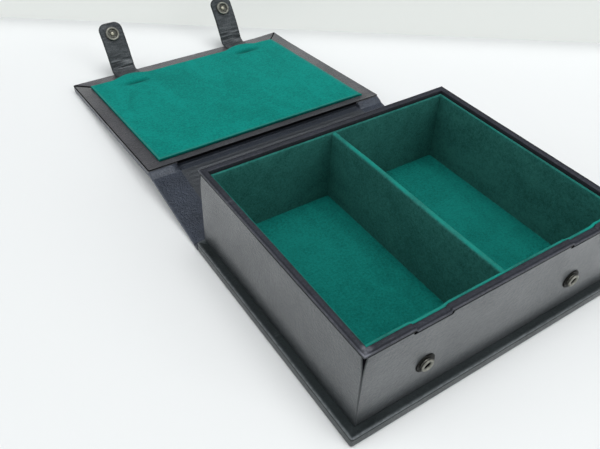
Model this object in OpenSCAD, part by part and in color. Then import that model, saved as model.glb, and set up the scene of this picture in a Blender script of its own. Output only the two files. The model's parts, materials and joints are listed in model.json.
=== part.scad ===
// Book-style jewellery box: a velvet-lined tray on a leather-covered base,
// a folding spine, a padded lid and two snap-fastened tabs.
// Shown open, with the lid laid back behind the tray.

/* [Tray] */
// Outside width of the tray
tray_w = 204; // [150:1:280]
// Outside depth of the tray
tray_d = 170; // [120:1:240]
// Height of the tray walls above the base
tray_h = 58.7; // [50:0.1:100]
// Thickness of the wall boards
wall_board_t = 2.9; // [2:0.1:5]
// Thickness of the tray's floor board
tray_floor_t = 1.2; // [0.8:0.1:3]
// How far the rim leather turns down inside the tray
rim_inner_leg = 12; // [6:1:20]
// How far the rim leather turns down outside the tray
rim_outer_leg = 1.2; // [0.6:0.1:3]
// How far the rim leather stands out past the wall leather
rim_lip = 0.25; // [0.1:0.05:0.5]

/* [Leather and boards] */
// Thickness of the case leather
leather_t = 0.8; // [0.6:0.1:1.2]
// Thickness of the inner hinge leather
hinge_leather_t = 0.6; // [0.4:0.1:1]
// Thickness of the base board
base_board_t = 6.4; // [3:0.1:9]
// Thickness of the lid board
lid_board_t = 4.6; // [3:0.1:7]
// Thickness of the spine board
spine_board_t = 1; // [0.8:0.1:2]
// Rounding of the leather-covered board edges
edge_r = 1.2; // [0.8:0.1:1.4]
// Width of the leather turned in over the boards
turn_in = 22; // [18:1:30]
// Width of the mitre seams in the turned-in leather
mitre_seam = 0.3; // [0.2:0.05:0.6]

/* [Case] */
// How far the base and lid stand out past the tray at each side
side_overhang = 6; // [3:0.5:12]
// How far the base stands out in front of the tray
front_overhang = 5.5; // [3:0.5:12]
// How far the closed lid stands out in front of the tray
lid_overhang = 3.6; // [2:0.1:4]
// Distance from each fold line to the spine board
joint_w = 3; // [2:0.1:5]
// Length of the leather turned over each end of the lid's fold
joint_end = 23; // [10:1:40]
// Slope of the spine above the table when the box lies open
spine_rise = 10.3; // [4:0.1:20]
// Height of the fold ridges in the spine lining
ridge_h = 0.3; // [0.1:0.05:0.4]
// Distance between the fold ridges
ridge_pitch = 5.5; // [3:0.5:12]
// Length of the seams at the tray's corners that open towards the rim
corner_seam = 16; // [6:1:30]

/* [Lining] */
// Thickness of the velvet-covered wall panels
lining_t = 2; // [1.2:0.1:3]
// How far the wall panels stop below the rim
lining_drop = 2.8; // [2.6:0.1:8]
// Thickness of the floor panels
floor_velvet_t = 1; // [0.6:0.1:3]
// Thickness of the divider's board
divider_board_t = 2; // [1:0.1:4]
// Thickness of the velvet on the divider
divider_velvet_t = 1; // [0.6:0.1:2]
// Distance of the divider from the middle of the tray
divider_x = -2; // [-60:1:60]

/* [Lid pad] */
// Bare leather beside the pad
pad_side_margin = 12; // [11:0.5:25]
// Bare leather between the fold and the pad
pad_near_margin = 7; // [6:0.5:20]
// Bare leather between the pad and the lid's free edge
pad_far_margin = 14; // [11:0.5:30]
// Thickness of the card inside the pad
pad_card_t = 1.2; // [0.8:0.1:1.4]
// Thickness of the foam and velvet over the card
pad_velvet_t = 1.4; // [0.8:0.1:1.4]
// Thickness of the velvet wrapped round the pad's edge
pad_wrap_t = 1; // [0.6:0.1:2]

/* [Tabs and snaps] */
// Width of a tab
tab_w = 22; // [18:0.5:30]
// Thickness of one of a tab's two leather layers
tab_layer_t = 0.9; // [0.7:0.05:1]
// Corner radius of a tab's end
tab_corner_r = 8; // [4:0.5:9]
// Length of tab past the centre of its snap
tab_end = 10.4; // [8:0.1:20]
// Length of the tab's root under the pad
tab_root = 12; // [6:1:30]
// Angle between a tab and the lid when the box lies open
tab_open_angle = 66; // [20:1:85]
// Distance of each snap from the middle of the box
snap_x = 58; // [30:1:80]
// Distance of the studs below the rim
snap_drop = 35.2; // [25:0.1:45]
// Outside diameter of the snaps
snap_d = 13; // [11:0.1:15]
// Height of the socket rings
socket_h = 2.5; // [2:0.1:3]
// Thickness of the socket plates
socket_plate_t = 0.4; // [0.3:0.05:0.6]
// Thickness of the stud flanges
stud_flange_t = 0.8; // [0.5:0.1:1]
// Radius of the stud heads
stud_head_r = 4.4; // [4.1:0.1:4.5]
// Radius of the hole in a stud
stud_hole_r = 2.5; // [2.4:0.1:2.9]
// Radius of the rivet shanks
shank_r = 1.9; // [1.5:0.05:2]
// Thickness of the rivet heads
rivet_head_t = 0.6; // [0.4:0.05:0.7]
// Height of the domed snap caps
cap_h = 1.8; // [1:0.1:3]

/* [Clearances] */
// Gap between the closed lid and the rim
lid_gap = 0.3; // [0.2:0.05:0.6]
// Gap between the closed spine and the tray
spine_gap = 0.8; // [0.7:0.1:2]
// Gap round the moving parts of the tabs and snaps
fit_gap = 0.3; // [0.2:0.05:0.5]
// Gap round a shank in its hole
shank_gap = 0.1; // [0.05:0.01:0.2]
// Gap between the rim leather and the wall leather
groove = 0.4; // [0.2:0.05:0.8]
// Gap between a joint's bare leather and the cover it meets
joint_gap = 0.05; // [0.02:0.01:0.1]
// Gap between two rim leathers at a corner
rim_seam = 0.12; // [0.06:0.02:0.3]

/* [Hidden] */
$fn = 64;
LEATHER = "#2c2f38";
SPINE_LEATHER = "#343948";
VELVET = "#157a6e";
BOARD = "#9a8a6e";
METAL = "#8d8672";

wall_t = wall_board_t + 2 * leather_t;
base_t = base_board_t + 2 * leather_t;
lid_t = lid_board_t + 2 * leather_t;
spine_t = leather_t + spine_board_t + hinge_leather_t;
rim_z = base_t + tray_h;
floor_z = base_t + tray_floor_t;
case_w = tray_w + 2 * side_overhang;
base_d = tray_d + front_overhang;
lid_d = tray_d + lid_overhang;

// Fold lines run in the middle of the outer leather.
fold_in = leather_t / 2;
// Distance from a fold line to the edge of the base or the lid
fold_set = spine_gap + spine_t - fold_in;
spine_len = rim_z + lid_gap + lid_t - 2 * fold_in;
fold_a = [tray_d / 2 + fold_set, fold_in];
fold_b = fold_a + spine_len * [cos(spine_rise), sin(spine_rise)];
// The lid slopes down until its rounded free edge meets the table.
lid_reach = fold_set + lid_d - edge_r;
lid_slope = atan2(edge_r - fold_in, lid_reach)
    + asin((fold_b[1] - edge_r) / norm([lid_reach, edge_r - fold_in]));
lid_in_z = lid_t - fold_in;
spine_in_z = spine_t - fold_in;
joint_t = leather_t + hinge_leather_t;

tab_t = 2 * tab_layer_t;
notch_w = tab_w + 4 * fit_gap;
notch_d = tab_t - lid_gap + fit_gap;
stud_z = rim_z - snap_drop;
// Height of the stud's head above the wall
stud_h = stud_flange_t + socket_h - socket_plate_t;
// Distance from the wall to the fastened tab's inner face
tab_stand = stud_flange_t + fit_gap + socket_h;
tab_fold_y = fold_a[0] + tray_d / 2 + tab_stand + tab_layer_t;
tab_fold_z = lid_in_z + tab_layer_t;
tab_snap_at = snap_drop + lid_gap - tab_layer_t;
tab_len = tab_snap_at + tab_end;

lining_top = rim_z - lining_drop;
inner_w = tray_w - 2 * wall_t;
inner_d = tray_d - 2 * wall_t;
room_w = inner_w - 2 * lining_t;
room_d = inner_d - 2 * lining_t;
divider_t = divider_board_t + 2 * divider_velvet_t;

pad_w = case_w - 2 * pad_side_margin;
pad_near_y = fold_set + pad_near_margin;
pad_far_y = fold_set + lid_d - pad_far_margin;
pad_d = pad_far_y - pad_near_y;
pad_t = pad_card_t + pad_velvet_t;

// Places: the spine's frame starts at the base fold, the lid's at the lid fold,
// and a tab's at its own fold. In each, +Y runs outwards and +Z is the inner side.
module in_spine() {
    translate([0, fold_a[0], fold_a[1]])
        rotate([spine_rise, 0, 0])
            children();
}

module in_lid() {
    translate([0, fold_b[0], fold_b[1]])
        rotate([-lid_slope, 0, 0])
            children();
}

module in_tab(side) {
    in_lid()
        translate([side * snap_x, tab_fold_y, tab_fold_z])
            rotate([tab_open_angle, 0, 0])
                children();
}

module on_front_wall(side) {
    translate([side * snap_x, -tray_d / 2, stud_z])
        rotate([90, 0, 0])
            children();
}

// A point of the spine's or the lid's frame, in the plane across the folds
function turned(p, a) = [p[0] * cos(a) - p[1] * sin(a), p[0] * sin(a) + p[1] * cos(a)];
function spine_pt(y, z) = fold_a + turned([y, z], spine_rise);
function lid_pt(y, z) = fold_b + turned([y, z], -lid_slope);

// Solid of a Y-Z outline, w wide along X and centred on it
module across(w) {
    rotate([90, 0, 90])
        linear_extrude(w, center = true)
            children();
}

// Outline w by h with round corners, from the origin
module round_rect(w, h, r) {
    translate([r, 0])
        square([w - 2 * r, h]);
    translate([0, r])
        square([w, h - 2 * r]);
    for (x = [r, w - r], y = [r, h - r])
        translate([x, y])
            circle(r);
}

// Board-shaped slab with all its edges rounded, from y0 and z0, centred on X
module round_slab(w, y0, d, z0, t, r) {
    intersection() {
        translate([0, y0, z0])
            across(w)
                round_rect(d, t, r);
        translate([-w / 2, y0 + d, z0])
            rotate([90, 0, 0])
                linear_extrude(d)
                    round_rect(w, t, r);
    }
}

module slab(w, y0, d, z0, t) {
    translate([-w / 2, y0, z0])
        cube([w, d, t]);
}

// Diagonal cut in the leather at a corner of a board
module mitre_cut(x, y, z, toward_x, toward_y) {
    reach = turn_in * sqrt(2);
    translate([x, y, z])
        rotate([0, 0, atan2(toward_y, toward_x)])
            translate([0, -mitre_seam / 2, -leather_t / 2])
                cube([reach, mitre_seam, leather_t]);
}

// Base
module base_board() {
    color(BOARD)
        slab(case_w - 2 * leather_t, leather_t - tray_d / 2 - front_overhang,
            base_d - 2 * leather_t, leather_t, base_board_t);
}

module base_cover() {
    front_y = -tray_d / 2 - front_overhang;
    color(LEATHER)
        difference() {
            round_slab(case_w, front_y, base_d, 0, base_t, edge_r);
            slab(case_w - 2 * leather_t, leather_t + front_y,
                base_d - 2 * leather_t, leather_t, base_board_t);
            slab(case_w - 2 * turn_in, front_y + turn_in,
                base_d - 2 * turn_in, base_t / 2, base_t);
            mitre_cut(-case_w / 2, front_y, base_t, 1, 1);
            mitre_cut(case_w / 2, front_y, base_t, -1, 1);
        }
}

module tray_floor_board() {
    inset = leather_t + wall_board_t;
    color(BOARD)
        slab(tray_w - 2 * inset, inset - tray_d / 2, tray_d - 2 * inset, base_t, tray_floor_t);
}

// Walls. Each wall part is drawn along X with its outer face at y = 0 and its rim at z = 0.
module on_front() {
    translate([0, -tray_d / 2, rim_z])
        children();
}

module on_back() {
    translate([0, tray_d / 2, rim_z])
        rotate([0, 0, 180])
            children();
}

module on_left() {
    translate([-tray_w / 2, 0, rim_z])
        rotate([0, 0, -90])
            children();
}

module on_right() {
    translate([tray_w / 2, 0, rim_z])
        rotate([0, 0, 90])
            children();
}

// Tab notches of the front wall, grown by a margin at the sides and the bottom
module notches(margin, y0, y1) {
    for (side = [-1, 1])
        translate([side * snap_x - notch_w / 2 - margin, y0, -notch_d - margin])
            cube([notch_w + 2 * margin, y1 - y0, notch_d + margin + 1]);
}

module stud_holes(y0, y1) {
    for (side = [-1, 1])
        translate([side * snap_x, y1, -snap_drop])
            rotate([90, 0, 0])
                cylinder(r = shank_r + shank_gap, h = y1 - y0);
}

module wall_board(len) {
    h = tray_h - leather_t;
    translate([-len / 2, leather_t, -leather_t - h])
        cube([len, wall_board_t, h]);
}

// Leather panel of a wall, with seams at its ends that open towards the rim
module wall_leather(len) {
    top = -rim_outer_leg - groove;
    seam_foot = 0.25;
    seam_neck = 0.6;
    seam_mouth = 1.9;
    neck_z = top - corner_seam;
    half = len / 2;
    // cut back with the thickness, so that the panels meet in a mitre
    intersection() {
        translate([0, leather_t, 0])
            rotate([90, 0, 0])
                linear_extrude(leather_t)
                    polygon([
                        [seam_foot - half, -tray_h], [half - seam_foot, -tray_h],
                        [half - seam_neck, neck_z], [half - seam_mouth, top],
                        [seam_mouth - half, top], [seam_neck - half, neck_z]
                    ]);
        translate([0, 0, -tray_h])
            linear_extrude(tray_h)
                polygon([
                    [-half, 0], [half, 0],
                    [half - leather_t, leather_t], [leather_t - half, leather_t]
                ]);
    }
}

// Leather folded over the top of a wall, mitred at its ends
module rim_leather(len, notched) {
    round_r = leather_t * 0.9;
    half = len / 2;
    seam = rim_seam / 2;
    difference() {
        intersection() {
            translate([0, -rim_lip, -rim_inner_leg])
                across(len + 2 * rim_lip)
                    union() {
                        square([wall_t + rim_lip, rim_inner_leg - round_r]);
                        translate([round_r, 0])
                            square([wall_t + rim_lip - 2 * round_r, rim_inner_leg]);
                        for (y = [round_r, wall_t + rim_lip - round_r])
                            translate([y, rim_inner_leg - round_r])
                                circle(round_r);
                    }
            translate([0, 0, -rim_inner_leg])
                linear_extrude(rim_inner_leg)
                    polygon([
                        [seam - half - rim_lip, -rim_lip], [half + rim_lip - seam, -rim_lip],
                        [half - wall_t - seam, wall_t], [seam + wall_t - half, wall_t]
                    ]);
        }
        // the wall board
        difference() {
            translate([-half, leather_t, -rim_inner_leg - 1])
                cube([len, wall_board_t, rim_inner_leg + 1 - leather_t]);
            if (notched)
                notches(leather_t, 0, wall_t);
        }
        // the wall leather below the outer turn-down
        difference() {
            translate([-len, -1, -rim_inner_leg - 1])
                cube([2 * len, 1 + leather_t, rim_inner_leg + 1 - rim_outer_leg]);
            if (notched)
                notches(rim_outer_leg, -2, leather_t + 1);
        }
        if (notched)
            notches(0, -1, wall_t + 1);
    }
}

module front_wall_board() {
    color(BOARD)
        on_front()
            difference() {
                wall_board(tray_w - 2 * leather_t);
                notches(leather_t, 0, wall_t);
                stud_holes(0, wall_t);
            }
}

module back_wall_board() {
    color(BOARD)
        on_back()
            wall_board(tray_w - 2 * leather_t);
}

side_board_len = tray_d - 2 * leather_t - 2 * wall_board_t;

module left_wall_board() {
    color(BOARD)
        on_left()
            wall_board(side_board_len);
}

module right_wall_board() {
    color(BOARD)
        on_right()
            wall_board(side_board_len);
}

module front_wall_leather() {
    color(LEATHER)
        on_front()
            difference() {
                wall_leather(tray_w);
                notches(rim_outer_leg + groove, -1, leather_t + 1);
                stud_holes(-1, wall_t);
            }
}

module back_wall_leather() {
    color(LEATHER)
        on_back()
            wall_leather(tray_w);
}

module left_wall_leather() {
    color(LEATHER)
        on_left()
            wall_leather(tray_d);
}

module right_wall_leather() {
    color(LEATHER)
        on_right()
            wall_leather(tray_d);
}

module front_rim() {
    color(LEATHER)
        on_front()
            rim_leather(tray_w, true);
}

module back_rim() {
    color(LEATHER)
        on_back()
            rim_leather(tray_w, false);
}

module left_rim() {
    color(LEATHER)
        on_left()
            rim_leather(tray_d, false);
}

module right_rim() {
    color(LEATHER)
        on_right()
            rim_leather(tray_d, false);
}

// Velvet-covered panel against a wall, with a rounded top edge
module lining_panel(len) {
    h = lining_top - floor_z;
    round_r = lining_t * 0.45;
    translate([0, wall_t, floor_z - rim_z])
        across(len)
            union() {
                square([lining_t, h - round_r]);
                square([lining_t - round_r, h]);
                translate([lining_t - round_r, h - round_r])
                    circle(round_r);
            }
}

module front_lining() {
    color(VELVET)
        on_front()
            lining_panel(inner_w);
}

module back_lining() {
    color(VELVET)
        on_back()
            lining_panel(inner_w);
}

module left_lining() {
    color(VELVET)
        on_left()
            lining_panel(room_d);
}

module right_lining() {
    color(VELVET)
        on_right()
            lining_panel(room_d);
}

module floor_velvet(x0, x1) {
    translate([x0, -room_d / 2, floor_z])
        cube([x1 - x0, room_d, floor_velvet_t]);
}

module left_floor_velvet() {
    color(VELVET)
        floor_velvet(-room_w / 2, divider_x - divider_t / 2);
}

module right_floor_velvet() {
    color(VELVET)
        floor_velvet(divider_x + divider_t / 2, room_w / 2);
}

module divider_board() {
    color(BOARD)
        translate([divider_x - divider_board_t / 2, -room_d / 2, floor_z])
            cube([divider_board_t, room_d, lining_top - floor_z - divider_t / 2]);
}

module divider_velvet() {
    h = lining_top - floor_z - divider_t / 2;
    color(VELVET)
        difference() {
            translate([divider_x, room_d / 2, floor_z])
                rotate([90, 0, 0])
                    linear_extrude(room_d)
                        union() {
                            translate([-divider_t / 2, 0])
                                square([divider_t, h]);
                            translate([0, h])
                                circle(divider_t / 2);
                        }
            translate([divider_x - divider_board_t / 2, -room_d, floor_z])
                cube([divider_board_t, 2 * room_d, h]);
        }
}

// Snap studs in the front wall
module stud() {
    flange_r = snap_d / 2;
    neck_r = stud_head_r - 0.5;
    ledge_z = stud_flange_t * 0.6;
    roll_r = (stud_head_r - stud_hole_r) / 2;
    rotate_extrude()
        union() {
            polygon([
                [shank_r + shank_gap, 0], [flange_r, 0], [flange_r, ledge_z],
                [flange_r - 0.4, stud_flange_t], [neck_r + 0.6, stud_flange_t],
                [neck_r, stud_flange_t + 0.5], [neck_r, stud_h - roll_r],
                [stud_hole_r, stud_h - roll_r], [stud_hole_r, ledge_z],
                [shank_r + shank_gap, ledge_z]
            ]);
            translate([stud_hole_r + roll_r, stud_h - roll_r])
                circle(roll_r);
        }
}

module stud_rivet() {
    clinch_z = stud_flange_t * 0.6;
    grip = leather_t + wall_board_t;
    translate([0, 0, -grip])
        cylinder(r = shank_r, h = grip + clinch_z);
    translate([0, 0, clinch_z])
        cylinder(r = stud_hole_r - shank_gap, h = 0.5);
    translate([0, 0, -grip - rivet_head_t])
        cylinder(r = 5, h = rivet_head_t);
}

module left_stud() {
    color(METAL)
        on_front_wall(-1)
            stud();
}

module right_stud() {
    color(METAL)
        on_front_wall(1)
            stud();
}

module left_stud_rivet() {
    color(METAL)
        on_front_wall(-1)
            stud_rivet();
}

module right_stud_rivet() {
    color(METAL)
        on_front_wall(1)
            stud_rivet();
}

// Spine
module spine_board() {
    color(BOARD)
        in_spine()
            slab(case_w - 2 * leather_t, joint_w, spine_len - 2 * joint_w,
                leather_t - fold_in, spine_board_t);
}

// The cover turns in over the board's ends; the lining lies between its turn-ins.
module spine_cover() {
    color(LEATHER)
        in_spine()
            difference() {
                slab(case_w, joint_w, spine_len - 2 * joint_w, -fold_in, spine_t);
                slab(case_w - 2 * leather_t, 0, spine_len, leather_t - fold_in, spine_board_t);
                slab(case_w - 2 * joint_end, 0, spine_len, leather_t - fold_in, spine_t);
            }
}

module spine_lining() {
    base_z = spine_in_z - hinge_leather_t;
    ridge_r = hinge_leather_t;
    far_end = spine_len - joint_w;
    lining_w = case_w - 2 * joint_end;
    color(SPINE_LEATHER)
        in_spine() {
            slab(lining_w, joint_w, spine_len - 2 * joint_w, base_z, hinge_leather_t);
            for (n = [1 : 3])
                translate([0, far_end - n * ridge_pitch, spine_in_z + ridge_h - ridge_r])
                    intersection() {
                        rotate([0, 90, 0])
                            cylinder(r = ridge_r, h = lining_w, center = true);
                        slab(case_w, -ridge_r, 2 * ridge_r, ridge_r - ridge_h - hinge_leather_t / 2,
                            2 * ridge_r);
                    }
        }
}

// Bare leather that bends at the two folds
module base_joint_leather() {
    back_y = tray_d / 2;
    mid_up = turned([0, joint_t - fold_in], spine_rise / 2);
    mid_down = turned([0, -fold_in], spine_rise / 2);
    far_y = joint_w - joint_gap;
    end_w = 4;
    color(SPINE_LEATHER) {
        across(case_w)
            polygon([
                [back_y, 0], fold_a + mid_down, spine_pt(far_y, -fold_in),
                spine_pt(far_y, joint_t - fold_in), fold_a + mid_up, [back_y, joint_t]
            ]);
        for (side = [-1, 1])
            translate([side * (case_w - end_w) / 2, 0, 0])
                across(end_w)
                    polygon([
                        [back_y, joint_t / 2], [back_y, base_t - edge_r],
                        spine_pt(far_y, spine_in_z), spine_pt(far_y, 0)
                    ]);
    }
}

module lid_joint_leather() {
    lean = (spine_rise - lid_slope) / 2;
    mid_up = turned([0, joint_t - fold_in], lean);
    mid_down = turned([0, -fold_in], lean);
    near_y = spine_len - joint_w;
    far_y = fold_set - joint_gap;
    color(SPINE_LEATHER) {
        across(case_w)
            polygon([
                spine_pt(near_y, -fold_in), fold_b + mid_down, lid_pt(far_y, -fold_in),
                lid_pt(far_y, joint_t - fold_in), fold_b + mid_up,
                spine_pt(near_y, joint_t - fold_in)
            ]);
        for (side = [-1, 1])
            translate([side * (case_w - joint_end) / 2, 0, 0])
                across(joint_end)
                    polygon([
                        spine_pt(near_y, 0), lid_pt(far_y, 0),
                        lid_pt(far_y, lid_in_z - edge_r), spine_pt(near_y, spine_in_z)
                    ]);
    }
}

// Lid
module lid_board() {
    color(BOARD)
        in_lid()
            slab(case_w - 2 * leather_t, fold_set + leather_t, lid_d - 2 * leather_t,
                leather_t - fold_in, lid_board_t);
}

module lid_cover() {
    far_y = fold_set + lid_d;
    color(LEATHER)
        in_lid()
            difference() {
                round_slab(case_w, fold_set, lid_d, -fold_in, lid_t, edge_r);
                slab(case_w - 2 * leather_t, fold_set + leather_t, lid_d - 2 * leather_t,
                    leather_t - fold_in, lid_board_t);
                slab(case_w - 2 * turn_in, fold_set + turn_in, lid_d - 2 * turn_in,
                    lid_in_z - 2 * leather_t, lid_t);
                mitre_cut(-case_w / 2, far_y, lid_in_z, 1, -1);
                mitre_cut(case_w / 2, far_y, lid_in_z, -1, -1);
                mitre_cut(-case_w / 2, fold_set, lid_in_z, 1, 1);
                mitre_cut(case_w / 2, fold_set, lid_in_z, -1, 1);
            }
}

// The tab roots' room under the pad, grown by a gap
module tab_root_room(gap) {
    for (side = [-1, 1])
        translate([side * snap_x - tab_w / 2 - gap, pad_far_y - tab_root - gap, lid_in_z - 1])
            cube([tab_w + 2 * gap, tab_root + 10, 1 + pad_card_t]);
}

module pad_board() {
    color(BOARD)
        in_lid()
            difference() {
                slab(pad_w - 2 * pad_wrap_t, pad_near_y + pad_wrap_t, pad_d - 2 * pad_wrap_t,
                    lid_in_z, pad_card_t);
                tab_root_room(fit_gap);
            }
}

module pad_velvet() {
    round_r = pad_t * 0.45;
    color(VELVET)
        in_lid()
            difference() {
                intersection() {
                    round_slab(pad_w, pad_near_y, pad_d, lid_in_z - pad_t, 2 * pad_t, round_r);
                    slab(pad_w, pad_near_y, pad_d, lid_in_z, pad_t);
                }
                slab(pad_w - 2 * pad_wrap_t, pad_near_y + pad_wrap_t, pad_d - 2 * pad_wrap_t,
                    lid_in_z - 1, 1 + pad_card_t);
                tab_root_room(fit_gap);
            }
}

// Tabs
module tab_outline() {
    translate([-tab_w / 2, 0])
        square([tab_w, tab_len - tab_corner_r]);
    translate([tab_corner_r - tab_w / 2, 0])
        square([tab_w - 2 * tab_corner_r, tab_len]);
    for (side = [-1, 1])
        translate([side * (tab_w / 2 - tab_corner_r), tab_len - tab_corner_r])
            circle(tab_corner_r);
}

// One leather layer of a tab. Its end rolls round the fold; up is 1 for the inner layer.
module tab_layer(up) {
    difference() {
        union() {
            translate([0, 0, up > 0 ? 0 : -tab_layer_t])
                linear_extrude(tab_layer_t)
                    tab_outline();
            difference() {
                rotate([0, 90, 0])
                    cylinder(r = tab_layer_t, h = tab_w, center = true);
                translate([-tab_w, -tab_t, up > 0 ? -tab_t : 0])
                    cube([2 * tab_w, 2 * tab_t, tab_t]);
            }
        }
        translate([0, tab_snap_at, -tab_t])
            cylinder(r = shank_r + shank_gap, h = 2 * tab_t);
    }
}

module tab_root(side) {
    root_y = pad_far_y - tab_root;
    ramp_y = pad_far_y + 2;
    end_y = tab_fold_y - tab_layer_t - fit_gap;
    in_lid()
        translate([side * snap_x, 0, lid_in_z])
            across(tab_w)
                polygon([
                    [root_y, 0], [end_y, 0], [end_y, tab_t], [ramp_y + 3, tab_t],
                    [ramp_y, pad_card_t - fit_gap], [root_y, pad_card_t - fit_gap]
                ]);
}

module socket() {
    ring_w = 1.6;
    outer_r = snap_d / 2;
    translate([0, tab_snap_at, tab_layer_t])
        rotate_extrude()
            union() {
                translate([shank_r + shank_gap, 0])
                    square([outer_r - ring_w / 2 - shank_r - shank_gap, socket_plate_t]);
                translate([outer_r - ring_w, 0])
                    square([ring_w, socket_h - ring_w / 2]);
                translate([outer_r - ring_w / 2, socket_h - ring_w / 2])
                    circle(ring_w / 2);
            }
}

// Domed cap on the outside of a tab, with its shank clinched in the socket
module cap() {
    cap_r = snap_d / 2 - 0.25;
    dome_r = (cap_r * cap_r + cap_h * cap_h) / (2 * cap_h);
    post_roll = 0.6;
    post_h = socket_h - 0.8;
    clinch_r = shank_r + 0.2;
    translate([0, tab_snap_at, 0]) {
        intersection() {
            translate([0, 0, -tab_layer_t - cap_h + dome_r])
                sphere(dome_r, $fn = 96);
            translate([0, 0, -tab_layer_t - cap_h])
                cylinder(r = cap_r, h = cap_h);
        }
        translate([0, 0, -tab_layer_t])
            cylinder(r = shank_r, h = tab_t + socket_plate_t);
        translate([0, 0, tab_layer_t + socket_plate_t])
            rotate_extrude()
                union() {
                    square([clinch_r - 1.2, 0.3]);
                    translate([clinch_r - 2 * post_roll, 0])
                        square([2 * post_roll, post_h - socket_plate_t - post_roll]);
                    translate([clinch_r - post_roll, post_h - socket_plate_t - post_roll])
                        circle(post_roll);
                }
    }
}

module tab_face(side) {
    color(LEATHER)
        in_tab(side)
            tab_layer(1);
}

module tab_back(side) {
    color(LEATHER)
        in_tab(side)
            tab_layer(-1);
}

module tab_socket(side) {
    color(METAL)
        in_tab(side)
            socket();
}

module tab_cap(side) {
    color(METAL)
        in_tab(side)
            cap();
}

base_board();
base_cover();
tray_floor_board();
front_wall_board();
back_wall_board();
left_wall_board();
right_wall_board();
front_wall_leather();
back_wall_leather();
left_wall_leather();
right_wall_leather();
front_rim();
back_rim();
left_rim();
right_rim();
front_lining();
back_lining();
left_lining();
right_lining();
left_floor_velvet();
right_floor_velvet();
divider_board();
divider_velvet();
left_stud();
right_stud();
left_stud_rivet();
right_stud_rivet();
spine_board();
spine_cover();
spine_lining();
base_joint_leather();
lid_joint_leather();
lid_board();
lid_cover();
pad_board();
pad_velvet();
color(LEATHER) tab_root(-1);  // left_tab_root
color(LEATHER) tab_root(1);  // right_tab_root
tab_face(-1);  // left_tab_face
tab_back(-1);  // left_tab_back
tab_socket(-1);  // left_socket
tab_cap(-1);  // left_cap
tab_face(1);  // right_tab_face
tab_back(1);  // right_tab_back
tab_socket(1);  // right_socket
tab_cap(1);  // right_cap
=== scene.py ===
# %% [markdown]
# # A book-style jewellery box
# The box is made the way a bookbinder makes one: boards are wrapped in leather, a tray stands
# on the base board, a narrow spine board folds up behind it, and the lid board swings over the
# top. Two leather tabs fasten the lid to studs on the front wall. The measured model comes in
# first, and every piece below is fitted to it.

# %% Load the measured model
import json
import math
import bmesh
import bpy
from mathutils import Matrix, Vector, noise


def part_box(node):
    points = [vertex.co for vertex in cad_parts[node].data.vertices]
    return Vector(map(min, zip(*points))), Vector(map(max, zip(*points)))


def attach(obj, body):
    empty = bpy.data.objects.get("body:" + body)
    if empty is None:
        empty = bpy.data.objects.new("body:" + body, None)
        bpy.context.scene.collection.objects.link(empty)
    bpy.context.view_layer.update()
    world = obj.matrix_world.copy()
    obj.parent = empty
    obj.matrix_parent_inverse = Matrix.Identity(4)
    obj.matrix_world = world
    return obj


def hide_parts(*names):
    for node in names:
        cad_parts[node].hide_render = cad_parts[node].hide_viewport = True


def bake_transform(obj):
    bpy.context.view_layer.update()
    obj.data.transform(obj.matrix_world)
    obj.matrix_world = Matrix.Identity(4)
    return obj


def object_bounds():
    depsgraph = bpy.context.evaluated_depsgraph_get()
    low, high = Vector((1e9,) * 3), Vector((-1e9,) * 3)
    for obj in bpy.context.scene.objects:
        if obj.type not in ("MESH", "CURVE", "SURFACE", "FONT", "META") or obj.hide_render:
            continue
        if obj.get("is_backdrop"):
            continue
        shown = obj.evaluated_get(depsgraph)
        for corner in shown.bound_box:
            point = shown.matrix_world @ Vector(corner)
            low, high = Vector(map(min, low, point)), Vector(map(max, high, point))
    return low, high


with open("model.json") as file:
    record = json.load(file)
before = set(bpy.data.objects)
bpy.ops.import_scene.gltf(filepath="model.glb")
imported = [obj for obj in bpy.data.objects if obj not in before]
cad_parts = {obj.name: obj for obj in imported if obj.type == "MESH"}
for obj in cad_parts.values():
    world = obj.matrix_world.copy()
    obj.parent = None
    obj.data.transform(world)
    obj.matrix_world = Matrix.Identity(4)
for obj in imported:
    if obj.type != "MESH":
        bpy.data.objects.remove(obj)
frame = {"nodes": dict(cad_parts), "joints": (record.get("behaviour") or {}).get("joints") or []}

MM = 0.001
measured_box = [list(corner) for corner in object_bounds()]


def in_mm(values, digits=1):
    return [round(v / MM, digits) for v in values]


print("measured model:", [in_mm(corner) for corner in measured_box], "mm")

# %% [markdown]
# ## Sizes, read from the model
# Typing sizes again would let them drift apart from the model, so they are read from it. The
# spine and the lid lie at a slope: each gets a frame of its own, with +Y pointing away from its
# fold and +Z on the inner side of the box, and its sizes are read in that frame.

# %% Frames of the spine and the lid
HERE = Matrix.Identity(4)


def joint_place(name):
    return Vector(next(j for j in frame["joints"] if j["name"] == name)["pos_m"])


def node_points(node, back=HERE):
    return [back @ v.co for v in frame["nodes"][node].data.vertices]


def own_box(node, place):
    """Lowest and highest corner of a node in the frame of its board."""
    points = node_points(node, place.inverted())
    return [Vector([pick(p[i] for p in points) for i in range(3)]) for pick in (min, max)]


fold_a, fold_b = joint_place("spine_fold"), joint_place("lid_fold")
lid_near = max(node_points("lid_board"), key=lambda p: p.z)
lid_far = max(node_points("lid_board"), key=lambda p: p.y)
spine_slope = math.atan2(fold_b.z - fold_a.z, fold_b.y - fold_a.y)
lid_slope = math.atan2(lid_far.z - lid_near.z, lid_far.y - lid_near.y)
SPINE = Matrix.Translation(fold_a) @ Matrix.Rotation(spine_slope, 4, "X")
LID = Matrix.Translation(fold_b) @ Matrix.Rotation(lid_slope, 4, "X")
print("spine slope", round(math.degrees(spine_slope), 2), "lid slope", round(math.degrees(lid_slope), 2))

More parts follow.
